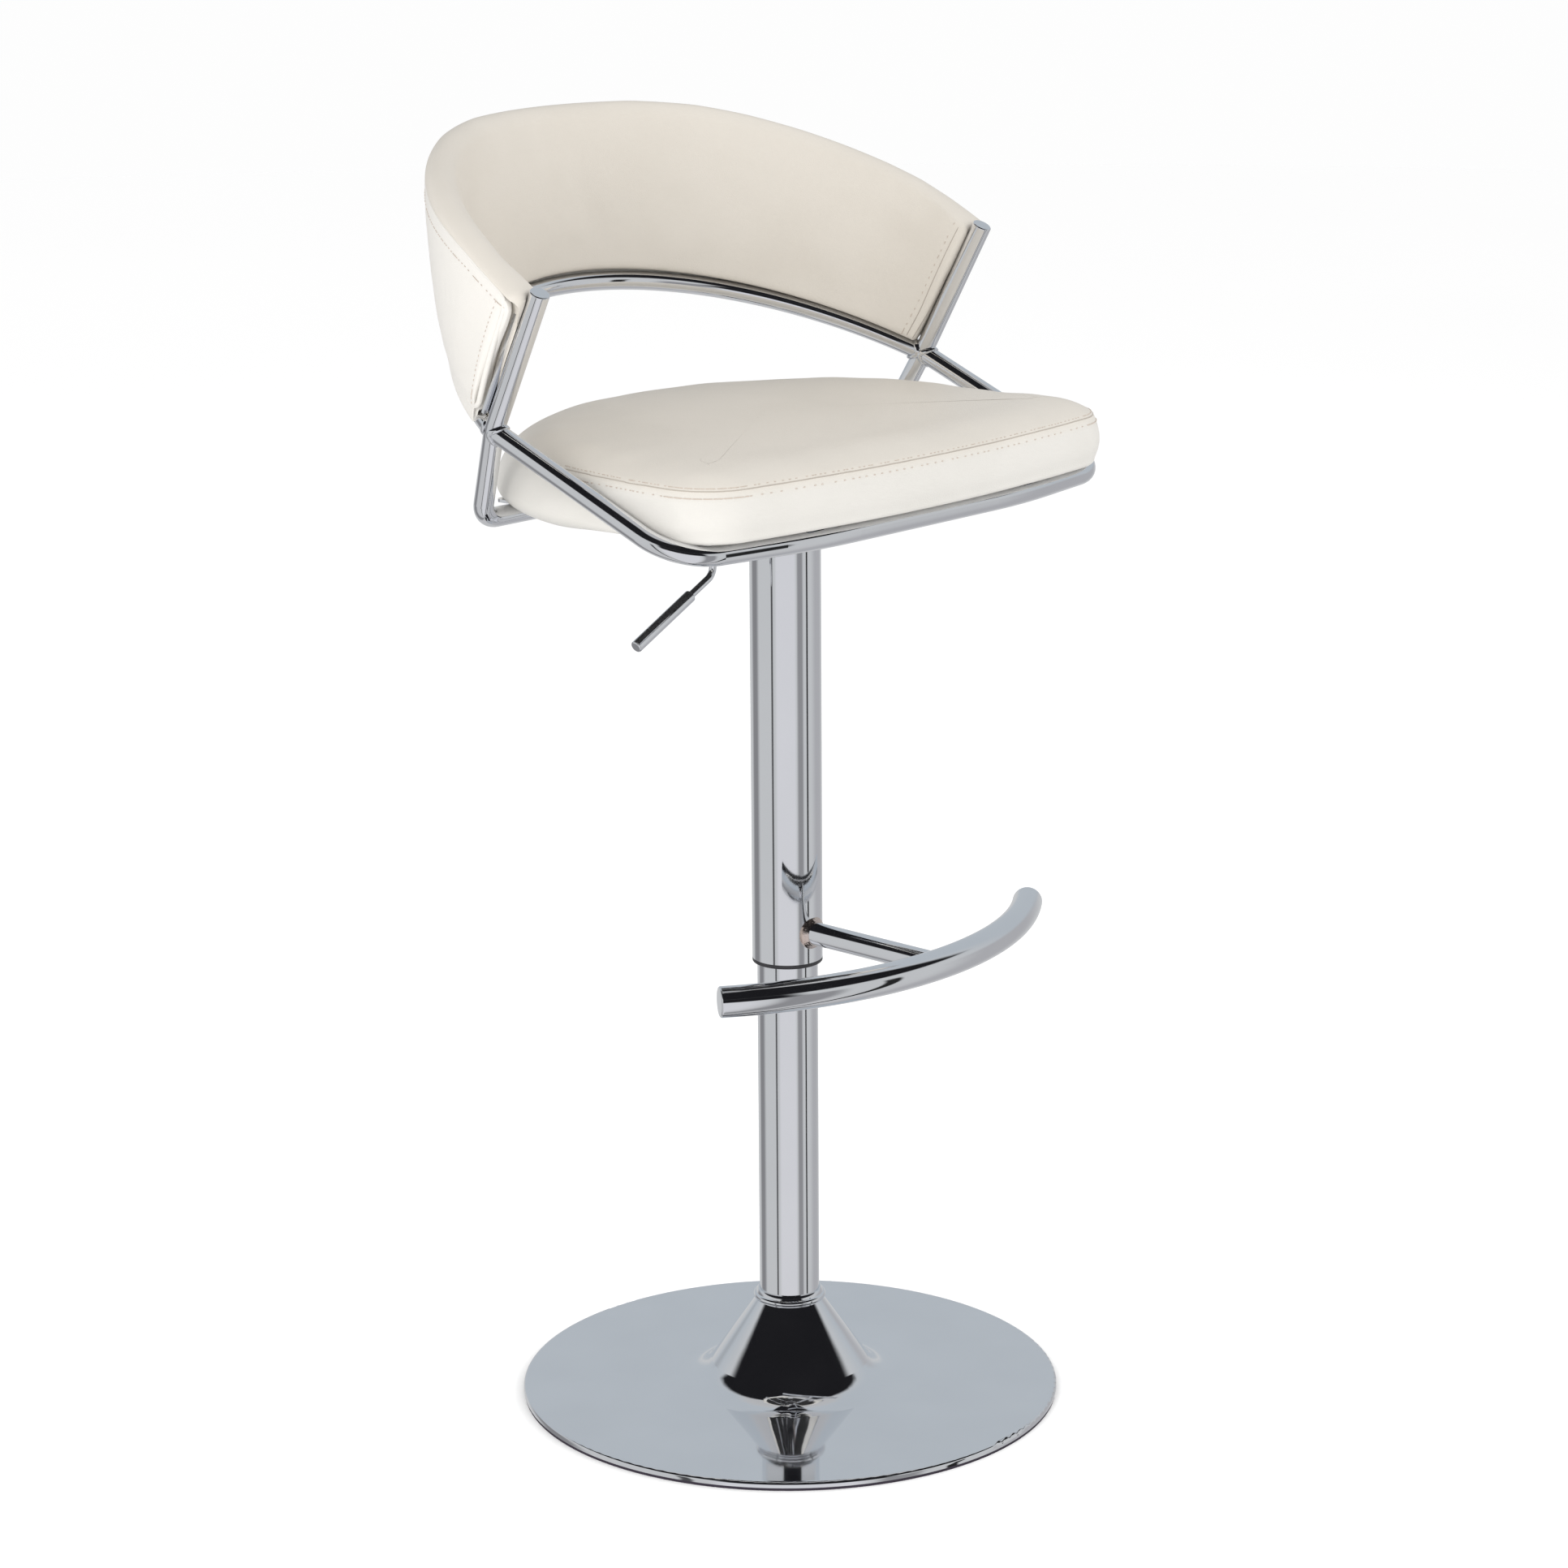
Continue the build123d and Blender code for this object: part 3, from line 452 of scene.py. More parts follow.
def set_coordinates(mesh, values):
    mesh.vertices.foreach_set("co", np.asarray(values, np.float32).ravel())
    mesh.update()


def evaluated_mesh(made):
    """A new mesh of the object with its modifiers applied."""
    evaluated = made.evaluated_get(bpy.context.evaluated_depsgraph_get())
    return bpy.data.meshes.new_from_object(evaluated)


def add_cloth(copy, pressure, frames):
    """A cloth modifier that puffs the object up, held by its vertex group."""
    cloth = copy.modifiers.new("cloth", "CLOTH")
    settings = cloth.settings
    settings.quality = 6
    settings.mass = 0.35
    settings.tension_stiffness = 25.0
    settings.compression_stiffness = 25.0
    settings.shear_stiffness = 12.0
    settings.bending_stiffness = 1.2
    settings.use_pressure = True
    settings.uniform_pressure_force = pressure
    settings.vertex_group_mass = "held"
    settings.shrink_min = -0.012
    settings.effector_weights.gravity = 0.0
    cloth.point_cache.frame_start = 1
    cloth.point_cache.frame_end = frames


def carried_shift(points, start, moved, neighbours=40, softness=0.008):
    """How far each of points goes along with the nearest of the moved points."""
    tree = KDTree(len(start))
    for index, point in enumerate(start):
        tree.insert(point, index)
    tree.balance()
    shift = np.zeros_like(points)
    for index, point in enumerate(points):
        near = tree.find_n(point, neighbours)
        weights = np.array([1.0 / (found[2] + softness) for found in near])
        shifts = moved[[found[1] for found in near]]
        shift[index] = (weights[:, None] * shifts).sum(0) / weights.sum()
    return shift


def inflate(made, voxel, cap, pressure=4.0, held=None, frames=20):
    """Puffs a padded piece up with the cloth solver.

    The solver works on an evenly remeshed copy, whose movement is limited to cap and then carried
    back to the piece's own clean mesh. held says, for each point of the copy, how firmly it stays.
    """
    copy = made.copy()
    copy.data = made.data.copy()
    bpy.context.scene.collection.objects.link(copy)
    remesh = copy.modifiers.new("remesh", "REMESH")
    remesh.mode = "VOXEL"
    remesh.voxel_size = voxel
    even = evaluated_mesh(copy)
    copy.modifiers.clear()
    copy.data = even
    start = coordinates(even)
    group = copy.vertex_groups.new(name="held")
    for index, weight in enumerate(held(start)):
        if weight > 0.01:
            group.add([index], float(weight), "REPLACE")
    add_cloth(copy, pressure, frames)
    scene = bpy.context.scene
    for step in range(1, frames + 1):
        scene.frame_set(step)
    settled = copy.evaluated_get(bpy.context.evaluated_depsgraph_get()).to_mesh()
    moved = coordinates(settled) - start
    scene.frame_set(1)
    length = np.linalg.norm(moved, axis=1, keepdims=True)
    moved *= np.minimum(1.0, cap / np.maximum(length, 1e-9))
    points = coordinates(made.data)
    set_coordinates(made.data, points + carried_shift(points, start, moved))
    bpy.data.objects.remove(copy, do_unlink=True)


def subdivide(made):
    """Adds one level of subdivision and applies it."""
    modifier = made.modifiers.new("subdivision", "SUBSURF")
    modifier.levels = 1
    modifier.render_levels = 1
    modifier.use_limit_surface = False
    fine = evaluated_mesh(made)
    made.modifiers.clear()
    made.data = fine
    fine.polygons.foreach_set("use_smooth", [True] * len(fine.polygons))


def surface_of(made):
    """A nearest-point finder on a piece's surface."""
    mesh = bmesh.new()
    mesh.from_mesh(made.data)
    tree = BVHTree.FromBMesh(mesh)
    mesh.free()
    return tree


def settle(points, surface, lift=0.0):
    """Drops points onto a surface. Returns the points and the surface's normals there."""
    placed, normals = [], []
    for point in points:
        spot, normal, _, _ = surface.find_nearest(Vector(point))
        placed.append(np.array(spot) + np.array(normal) * lift)
        normals.append(np.array(normal))
    return np.array(placed), np.array(normals)


def ribbon_tube(name, points, normals, width, height, look, closed=False, sides=10):
    """A flattened tube along points on a surface: a welt, a folded edge or the painted shade in a
    seam's valley.
    """
    points = np.asarray(points)
    if closed:
        ahead = np.roll(points, -1, 0) - np.roll(points, 1, 0)
    else:
        ahead = np.gradient(points, axis=0)
    ahead /= np.linalg.norm(ahead, axis=1, keepdims=True)
    across = np.cross(ahead, normals)
    across /= np.linalg.norm(across, axis=1, keepdims=True)
    up = np.cross(across, ahead)
    angles = np.linspace(0, 2 * math.pi, sides, endpoint=False)
    taper = np.ones(len(points))
    if not closed:
        run = np.arange(len(points))
        taper = np.clip(np.minimum(run, run[::-1]) / 2.0 + 0.25, 0, 1) ** 0.5
    vertices = [
        point + t * (math.cos(a) * width / 2 * side + math.sin(a) * height / 2 * top)
        for point, side, top, t in zip(points, across, up, taper)
        for a in angles
    ]
    faces = ring_faces(len(points), sides)
    last = (len(points) - 1) * sides
    if closed:
        for j in range(sides):
            k = (j + 1) % sides
            faces.append((last + j, last + k, k, j))
    else:
        faces.append(tuple(range(sides))[::-1])
        faces.append(tuple(last + j for j in range(sides)))
    made = new_object(name, vertices, faces, look)
    outward_normals(made)
    return made


def stitch_row(name, points, normals, pitch=0.0034, length=0.0024, thick=0.0008, lift=0.00025):
    """A row of separate stitches along a line on a surface, each pulled in at its two ends."""
    points, normals = np.asarray(points), np.asarray(normals)
    total = np.linalg.norm(np.diff(points, axis=0), axis=1).sum()
    count = max(2, int(total / pitch))
    spots = resample(np.hstack([points, normals]), count)
    places, tops = spots[:, :3], spots[:, 3:]
    ahead = np.gradient(places, axis=0)
    ahead /= np.linalg.norm(ahead, axis=1, keepdims=True)
    side = np.cross(ahead, tops)
    side /= np.linalg.norm(side, axis=1, keepdims=True)
    profile = [(-0.5, 0.25), (-0.36, 0.8), (-0.12, 1.0), (0.12, 1.0), (0.36, 0.8), (0.5, 0.25)]
    vertices, faces = [], []
    for place, forward, across, top in zip(places, ahead, side, tops):
        first = len(vertices)
        for along, width in profile:
            dip = thick * 0.5 * (1 - width)
            for corner in range(6):
                a = corner * math.pi / 3
                vertices.append(
                    place
                    + forward * along * length
                    + across * math.cos(a) * thick * width / 2
                    + top * (math.sin(a) * thick * width / 2 + lift - dip)
                )
        faces += ring_faces(len(profile), 6, first)
        faces.append(tuple(first + j for j in range(6))[::-1])
        faces.append(tuple(first + (len(profile) - 1) * 6 + j for j in range(6)))
    made = new_object(name, vertices, faces, THREAD)
    outward_normals(made)
    return made


def press_groove(made, line, width, depth):
    """Pulls the surface in along a line, as a sewn seam does."""
    mesh = made.data
    points = coordinates(mesh)
    normals = np.array([v.normal[:] for v in mesh.vertices])
    tree = KDTree(len(line))
    for index, point in enumerate(line):
        tree.insert(point, index)
    tree.balance()
    for index, point in enumerate(points):
        _, _, distance = tree.find(point)
        if distance < 3 * width:
            points[index] -= normals[index] * depth * math.exp(-((distance / width) ** 2))
    set_coordinates(mesh, points)


# ---- cushion -----------------------------------------------------------------------------------
def seat_outline(count):
    """The cushion's widest outline from above, anticlockwise from the middle of the front."""
    half, depth = SEAT_HALF_WIDTH, SEAT_DEPTH
    rear = [
        (half * math.cos(a), depth * math.sin(a)) for a in np.linspace(0, math.pi, 160)
    ]
    bow = SEAT_FRONT_SIDE - SEAT_FRONT_MIDDLE
    corner_x, corner_y = half - SEAT_CORNER, SEAT_FRONT_SIDE + SEAT_CORNER - 0.004
    slope = 2 * bow * corner_x / half ** 2
    first = -math.pi / 2 + math.atan(slope)
    right_corner = [
        (corner_x + SEAT_CORNER * math.cos(a), corner_y + SEAT_CORNER * math.sin(a))
        for a in np.linspace(first, 0, 40)
    ]
    joins = right_corner[0]
    front = [
        (x, SEAT_FRONT_MIDDLE + (joins[1] - SEAT_FRONT_MIDDLE) * (x / joins[0]) ** 2)
        for x in np.linspace(0, joins[0], 40)[:-1]
    ]
    right = front + right_corner
    left = [(-x, y) for x, y in right[::-1]]
    return resample(np.array(right + rear + left[:-1]), count, closed=True)


def inward_normals(outline):
    ahead = np.roll(outline, -1, 0) - np.roll(outline, 1, 0)
    ahead /= np.linalg.norm(ahead, axis=1, keepdims=True)
    return np.stack([-ahead[:, 1], ahead[:, 0]], axis=1)


def rear_share(y):
    """0 where the cushion has an upright boxed edge, 1 where its edge is rolled over."""
    return smooth_step(y, -0.085, 0.045)


def seat_profiles():
    """Matching profiles, from the underside over the edge to the crown, as (inset, height)."""
    front = [(inset, FRONT_UNDERSIDE) for inset in (0.085, 0.05, 0.022, 0.0095)]
    for a in np.linspace(0.2, 1.0, 5) * math.pi / 2:
        rise = EDGE_ROUND * (1 - math.cos(a))
        front.append((EDGE_INSET - EDGE_ROUND * math.sin(a), FRONT_UNDERSIDE + rise))
    under = len(front)
    band = SEAM_HEIGHT - FRONT_UNDERSIDE - EDGE_ROUND
    for t in np.linspace(0.08, 1.0, 9):
        belly = SEAM_INSET - BAND_BULGE * math.sin(math.pi * t ** 0.8)
        front.append((belly, FRONT_UNDERSIDE + EDGE_ROUND + t * band))
    rise = CROWN_HEIGHT - SEAM_HEIGHT
    for t in np.linspace(0.04, 1.0, 14) ** 1.4:
        front.append((SEAM_INSET + t * CROWN_WIDTH, SEAM_HEIGHT + rise * (1 - (1 - t) ** 3)))
    rear = []
    low = REAR_WIDEST - REAR_UNDERSIDE
    for a in np.linspace(0.0, 1.0, under) ** 0.8 * math.pi / 2:
        rear.append((0.040 * (1 - math.sin(a)), REAR_WIDEST - low * math.cos(a)))
    high = CROWN_HEIGHT - REAR_WIDEST
    for a in np.linspace(0.03, 1.0, len(front) - under) * math.pi / 2:
        rear.append((REAR_ROUND * (1 - math.cos(a)), REAR_WIDEST + high * math.sin(a)))
    return np.array(front), np.array(rear)


def seat_edge(count):
    """Outline points, their inward directions and the rolled share of each."""
    outline = seat_outline(count)
    return outline, inward_normals(outline), rear_share(outline[:, 1])


def seat_ring(edge, front, rear):
    """One ring of the cushion at a step of the two profiles."""
    outline, inward, share = edge
    inset = front[0] * (1 - share) + rear[0] * share
    height = front[1] * (1 - share) + rear[1] * share
    flat = outline + inward * inset[:, None]
    return np.column_stack([flat, height])


def show_dust_cover(made):
    """Gives the black cover's look to an oval in the middle of the underside."""
    made.data.materials.append(DUST_COVER)
    for face in made.data.polygons:
        across = face.center.x / SEAT_HALF_WIDTH
        along = (face.center.y - SEAT_CENTRE_Y) / DUST_COVER_DEPTH
        covered = math.hypot(across, along) < DUST_COVER_REACH
        face.material_index = int(covered and face.center.z < FRONT_UNDERSIDE + 0.001)


def seat_held(points):
    """How firmly each point stays while the cushion is puffed up: its underside and front seam."""
    low = 1 - smooth_step(points[:, 2], 0.776, 0.786)
    boxed = 1 - smooth_step(points[:, 1], -0.06, 0.02)
    seam = np.exp(-(((points[:, 2] - SEAM_HEIGHT) / 0.004) ** 2)) * boxed
    near_edge = (np.abs(points[:, 0]) > 0.2) | (points[:, 1] < -0.12)
    return np.clip(np.maximum(low, seam * near_edge), 0, 1)


def keep_between_tubes(made):
    """Limits the cushion's width where the frame's tubes pass beside it."""
    points = coordinates(made.data)
    beside_tube = (points[:, 1] < 0.09) & (points[:, 1] > -0.14)
    limited = np.clip(points[:, 0], -SEAT_HALF_WIDTH, SEAT_HALF_WIDTH)
    points[:, 0] = np.where(beside_tube, limited, points[:, 0])
    set_coordinates(made.data, points)


def make_cushion():
    edge = seat_edge(CUSHION_POINTS)
    front, rear = seat_profiles()
    vertices = []
    for step_front, step_rear in zip(front, rear):
        vertices.extend(seat_ring(edge, step_front, step_rear))
    faces = ring_faces(len(front), CUSHION_POINTS)
    last = len(vertices) - CUSHION_POINTS
    # the underside is flat, the top gently crowned: highest in the middle
    for first, crown, flip in ((0, 0.0, True), (last, CROWN_EXTRA, False)):
        ring = range(first, first + CUSHION_POINTS)
        height = np.array([vertices[i] for i in ring])[:, 2].mean()
        centre = np.array([0.0, SEAT_CENTRE_Y, height])
        shares = np.linspace(1, 0, 26)[1:-1]
        close_loop(vertices, faces, ring, centre, np.array([0.0, 0.0, crown]), shares, flip)
    made = new_object("seat_cushion_leather", vertices, faces, SEAT_LEATHER)
    outward_normals(made)
    show_dust_cover(made)
    inflate(made, voxel=0.006, cap=0.0015, held=seat_held)
    keep_between_tubes(made)
    return made


def seat_seam_line(drop, extra=0.0):
    """The front seam from side to side, or a line drop below it and extra further in."""
    outline, inward, share = seat_edge(900)
    front = np.where(outline[:, 1] < 0.024)[0]
    order = np.argsort(np.arctan2(outline[front, 0], -outline[front, 1] + 0.05))
    front = front[order]
    seam_rise = SEAM_HEIGHT - drop
    high = CROWN_HEIGHT - REAR_WIDEST
    rolled = REAR_ROUND * (1 - math.sqrt(max(0.0, 1 - ((seam_rise - REAR_WIDEST) / high) ** 2)))
    inset = (SEAM_INSET + extra) * (1 - share[front]) + rolled * share[front]
    flat = outline[front] + inward[front] * inset[:, None]
    return resample(np.column_stack([flat, np.full(len(flat), seam_rise)]), SEAM_POINTS)


def finish_cushion(made):
    """The sewn seam round the front, with a row of stitches on each side of it."""
    seam = seat_seam_line(0.0)
    groove, _ = settle(seam, surface_of(made))
    press_groove(made, groove, 0.0016, 0.0011)
    subdivide(made)
    surface = surface_of(made)
    valley, valley_normals = settle(seam, surface, -0.0001)
    low, low_normals = settle(seat_seam_line(0.0062), surface)
    high, high_normals = settle(seat_seam_line(-0.0016, 0.0022), surface)
    return [
        made,
        # a dark ribbon in the seam's groove: painted shade
        ribbon_tube("seat_seam", valley, valley_normals, 0.0011, 0.0008, SEAM_SHADOW),
        stitch_row("seat_stitches_lower", low, low_normals),
        stitch_row("seat_stitches_upper", high, high_normals, thick=0.0006),
    ]


# ---- back --------------------------------------------------------------------------------------
BACK_LENGTH = math.pi * (BACK_HALF_WIDTH + BACK_HALF_DEPTH) / 2
BACK_SLOPE = (BACK_MIDDLE_Z - JOINT_Z) / (BACK_MIDDLE_Y - JOINT_Y)
UPRIGHT = np.array([CAP_Y - JOINT_Y, CAP_Z - JOINT_Z])
UPRIGHT = UPRIGHT / np.linalg.norm(UPRIGHT)


def shell_point(angle, out, z):
    """Points of the leaning shell. angle runs from 0 at the right to pi at the left."""
    angle, out, z = np.broadcast_arrays(angle, out, z)
    centre = BACK_CENTRE_Y + BACK_LEAN * (z - BACK_CENTRE_Z)
    x = (BACK_HALF_WIDTH + out) * np.cos(angle)
    y = centre + (BACK_HALF_DEPTH + out) * np.sin(angle)
    return np.stack([x, y, z], axis=-1)


def tube_height(y, above):
    return JOINT_Z + BACK_SLOPE * (y - JOINT_Y) + above * math.hypot(1, BACK_SLOPE)


def top_height(y):
    ys, zs = np.array(TOP_LINE).T
    before = (np.minimum(y, ys[0]) - ys[0]) * (zs[1] - zs[0]) / (ys[1] - ys[0])
    return np.interp(y, ys, zs) + before


def end_line(z, gap):
    """y of the back's end at a height: a line beside the upright, gap metres from its middle."""
    foot = np.array([JOINT_Y, JOINT_Z]) + gap * np.array([UPRIGHT[1], -UPRIGHT[0]])
    return foot[0] + (z - foot[1]) * UPRIGHT[0] / UPRIGHT[1]


def span(angle):
    """Lowest and highest z of the back at an angle, at its middle surface."""
    low = high = np.full(np.shape(angle), 0.95)
    for _ in range(12):
        low = tube_height(shell_point(angle, 0, low)[..., 1], PAD_LIFT)
        high = top_height(shell_point(angle, 0, high)[..., 1])
    return low, high


def end_angle(share, gap=END_GAP, rise=0.0):
    """The angle at which the back ends, on the right, at a share of its height."""
    low = np.full(np.shape(share), -0.6)
    high = np.full(np.shape(share), 0.9)
    for _ in range(30):
        middle = (low + high) / 2
        bottom, top = span(middle)
        z = bottom + (top - bottom) * share + rise
        before = shell_point(middle, 0, z)[..., 1] < end_line(z, gap)
        low = np.where(before, middle, low)
        high = np.where(before, high, middle)
    return (low + high) / 2


def pad_section():
    """Section of the inner pad with its top roll, as (out, share up, rise in metres)."""
    section = []
    for t in np.linspace(0.035, 0.80, 20):
        section.append((INSIDE - 0.0022 * math.sin(math.pi * t), t, 0.0))
    reach = (OUTSIDE + 0.0008 - INSIDE) / 2
    middle = INSIDE + reach
    for a in np.linspace(math.pi * 0.93, math.pi * 0.045, 15):
        section.append((middle + reach * math.cos(a), 1.0, -0.0145 + 0.0145 * math.sin(a)))
    section.append((middle + reach * 0.985, 1.0, -0.0158))
    section.append((middle + reach * 0.88, 1.0, -0.0176))
    section.append((BOARD + 0.004, 1.0, -0.0185))
    for t in np.linspace(0.80, 0.06, 14):
        section.append((BOARD, t, 0.0))
    section.append((BOARD - 0.0015, 0.008, 0.0))
    section.append((0.0, 0.0, 0.0))
    section.append((INSIDE + 0.004, 0.0, 0.0))
    section.append((INSIDE + 0.0012, 0.012, 0.0))
    return section


def cover_section():
    """Section of the outer cover, from its top seam down the outside and up behind the tube."""
    section = [
        (BOARD + 0.004, 1.0, -0.0178),
        (OUTSIDE - 0.0020, 1.0, -0.0168),
        (OUTSIDE + 0.0004, 1.0, -0.0166),
        (OUTSIDE + 0.0013, 1.0, -0.0182),
    ]
    for t in np.linspace(0.835, 0.10, 18):
        bulge = 0.0034 * math.sin(math.pi * (0.12 + 0.88 * t)) ** 0.8
        section.append((OUTSIDE + bulge, t, 0.0))
    section.append((OUTSIDE + 0.0006, 0.04, 0.0))
    section.append((OUTSIDE, 0.0, -0.006))
    section.append((OUTSIDE - 0.0008, 0.0, -0.0118))
    section.append((OUTSIDE - 0.0022, 0.0, -0.0126))
    section.append((SKIRT_INSIDE + 0.0006, 0.0, -0.0118))
    section.append((SKIRT_INSIDE, 0.0, -0.006))
    section.append((SKIRT_INSIDE, 0.0, 0.0004))
    section.append((BOARD + 0.003, 0.0, 0.0006))
    for t in np.linspace(0.03, 0.82, 14):
        section.append((BOARD + 0.0006, t, 0.0))
    return section


def roll_share(distance):
    """How much of its full height the top roll has, at a distance from the back's end."""
    return 0.5 + 0.5 * smooth_step(distance, 0.02, 0.20)


def soft_end(distance, roundness, edge):
    """How much a layer is cut down and how thin it is, at a distance from its rounded end."""
    left = roundness - min(distance, roundness)
    shrink = roundness - math.sqrt(max(0.0, roundness ** 2 - left ** 2))
    thin_left = 1 - min(distance, edge) / edge
    thin = 1 - 0.55 * (1 - math.sqrt(max(0.0, 1 - thin_left ** 2)))
    return shrink, thin


def close_layer_ends(vertices, faces, count):
    """Closes the first and the last ring of a layer, slightly domed."""
    last = len(vertices) - count
    for first, other, flip in ((0, count, True), (last, last - count, False)):
        step = vertices[first] - vertices[other]
        step = step / np.linalg.norm(step) * 0.0012
        ring = range(first, first + count)
        centre = np.array([vertices[i] for i in ring]).mean(axis=0)
        close_loop(vertices, faces, ring, centre, step, (0.7, 0.35), flip)


def back_layer(name, section, look, gap, roundness, edge, swell=0.0, stations=150):
    """A layer of the back: its section carried round the shell, with soft ends."""
    outs, shares, rises = np.array(section).T

    def flattened(distance):
        return np.where(shares == 1.0, rises * roll_share(distance), rises)

    firsts = end_angle(shares, gap, flattened(0.0))
    middle_out = (outs.min() + outs.max()) / 2
    # the inner face comes forward beside the upper part of each upright
    inner = np.clip((BOARD - 0.001 - outs) / 0.010, 0, 1)
    swollen = swell * inner * smooth_step(shares, 0.05, 0.75)
    run = np.linspace(0, 1, stations)
    # stations close up towards the two ends
    places = (1 - np.cos(math.pi * run)) / 2 * 0.35 + run * 0.65
    vertices = []
    for place in places:
        distance = min(place, 1 - place) * BACK_LENGTH
        shrink, thin = soft_end(distance, roundness, edge)
        angles = firsts + (math.pi - 2 * firsts) * place
        low, high = span(angles)
        half = (high - low) / 2
        z = low + 2 * half * shares + flattened(distance)
        z = low + half + (z - low - half) * (1 - shrink / half)
        beside = 1 - smooth_step(distance, 0.008, 0.050)
        out = middle_out + (outs - middle_out) * thin - swollen * beside
        vertices.extend(shell_point(angles, out, z))
    faces = ring_faces(stations, len(section))
    close_layer_ends(vertices, faces, len(section))
    made = new_object(name, vertices, faces, look)
    outward_normals(made)
    return made


def keep_off_tubes(made, clearance=0.0004):
    """Moves points that the padding pushed into an upright back to the tube's surface."""
    points = coordinates(made.data)
    reach = TUBE_RADIUS + clearance
    for side in (1, -1):
        foot = np.array([side * JOINT_X, JOINT_Y, JOINT_Z])
        up = np.array([side * CAP_X, CAP_Y, CAP_Z]) - foot
        up /= np.linalg.norm(up)
        along = (points - foot) @ up
        away = points - foot - along[:, None] * up
        distance = np.linalg.norm(away, axis=1)
        inside = distance < reach
        points[inside] += away[inside] * (reach / distance[inside] - 1)[:, None]
    set_coordinates(made.data, points)


def top_seam_line(out, below, margin):
    """A line that far below the cover's top seam, short of its ends by a share of its length."""
    first = end_angle(1.0)
    places = np.linspace(margin, 1 - margin, SEAM_POINTS)
    angles = first + (math.pi - 2 * first) * places
    drop = TOP_SEAM_DROP * roll_share(np.minimum(places, 1 - places) * BACK_LENGTH) + below
    return shell_point(angles, out, span(angles)[1] - drop)


def end_line_points(out, inset, low_share, high_share, left, count):
    """A line up the back near one of its ends, inset metres from it."""
    shares = np.linspace(low_share, high_share, count)
    angles = end_angle(shares) + inset / BACK_HALF_WIDTH
    angles = math.pi - angles if left else angles
    low, high = span(angles)
    return shell_point(angles, out, low + (high - low) * shares)


def pad_end_line(inset, left):
    """A sewn line beside the upright on the inner face, inset metres from the pad's end."""
    return end_line_points(INSIDE, inset - (END_GAP - PAD_END_GAP), 0.02, 0.93, left, 90)


def back_held(points):
    """How firmly each point of the back stays: its lower and upper edges and its two ends."""
    above_tube = points[:, 2] - tube_height(points[:, 1], PAD_LIFT)
    below_top = top_height(points[:, 1]) - points[:, 2]
    firm = 1 - smooth_step(above_tube, 0.004, 0.016)
    firm = np.maximum(firm, 1 - smooth_step(below_top, 0.004, 0.022))
    from_end = points[:, 1] - end_line(points[:, 2], END_GAP)
    return np.maximum(firm, 1 - smooth_step(from_end, 0.012, 0.045))


def make_back():
    pad = back_layer(
        "back_inner_pad", pad_section(), PAD_LEATHER, PAD_END_GAP, 0.0035, 0.0040, END_SWELL
    )
    # the cover gets the leather's lighter, cooler tint: painted light
    cover = back_layer(
        "back_outer_cover", cover_section(), LIT_COVER_LEATHER, END_GAP, 0.009, 0.0045
    )
    for piece in (pad, cover):
        inflate(piece, voxel=0.005, cap=0.0018, held=back_held, pressure=3.0)
        keep_off_tubes(piece)
    return pad, cover


def edge_welt(left, side):
    """The cover's folded edge: a thick rounded lip down its end, turning in at both corners."""
    out = OUTSIDE - 0.0012

    def corner(*turns):
        return [end_line_points(out, inset, share, share, left, 1)[0] for inset, share in turns]

    foot = corner((0.019, 0.030), (0.0105, 0.034), (0.0045, 0.045), (0.0012, 0.070))
    end = end_line_points(out, 0.0002, 0.10, 0.83, left, 60)
    top = corner((0.0012, 0.87), (0.0045, 0.905), (0.0105, 0.925), (0.019, 0.932))
    path = resample(np.vstack([foot, end, top]), 110)
    for _ in range(8):
        path[1:-1] = (path[:-2] + 2 * path[1:-1] + path[2:]) / 4
    outward = path * (1, 1, 0) - np.array([0.0, 0.03, 0.0])
    outward /= np.linalg.norm(outward, axis=1, keepdims=True)
    name = f"back_edge_welt_{side}"
    # the welt is in the cover's lighter tint: painted light
    return ribbon_tube(name, path, outward, 0.0046, 0.0050, LIT_COVER_LEATHER, sides=14)


def finish_back_end(left, side, pad_surface, cover_surface):
    """The sewn lines and stitches beside one upright, and the cover's folded edge there."""
    pieces = []
    # dark ribbons in the grooves of the pad's sewn lines: painted shade
    for number, inset in enumerate(END_SEAMS):
        line, normals = settle(pad_end_line(inset, left), pad_surface, -0.0001)
        name = f"back_end_seam_shade_{side}_{number}"
        pieces.append(ribbon_tube(name, line, normals, 0.0009, 0.0007, SEAM_SHADOW))
    line, normals = settle(pad_end_line(END_STITCHES, left), pad_surface)
    pieces.append(stitch_row(f"back_end_stitches_{side}", line, normals, thick=0.0006))
    line = end_line_points(OUTSIDE, 0.0075, 0.06, 0.86, left, 90)
    line, normals = settle(line, cover_surface)
    pieces.append(stitch_row(f"back_edge_stitches_{side}", line, normals, thick=0.0006))
    pieces.append(edge_welt(left, side))
    return pieces


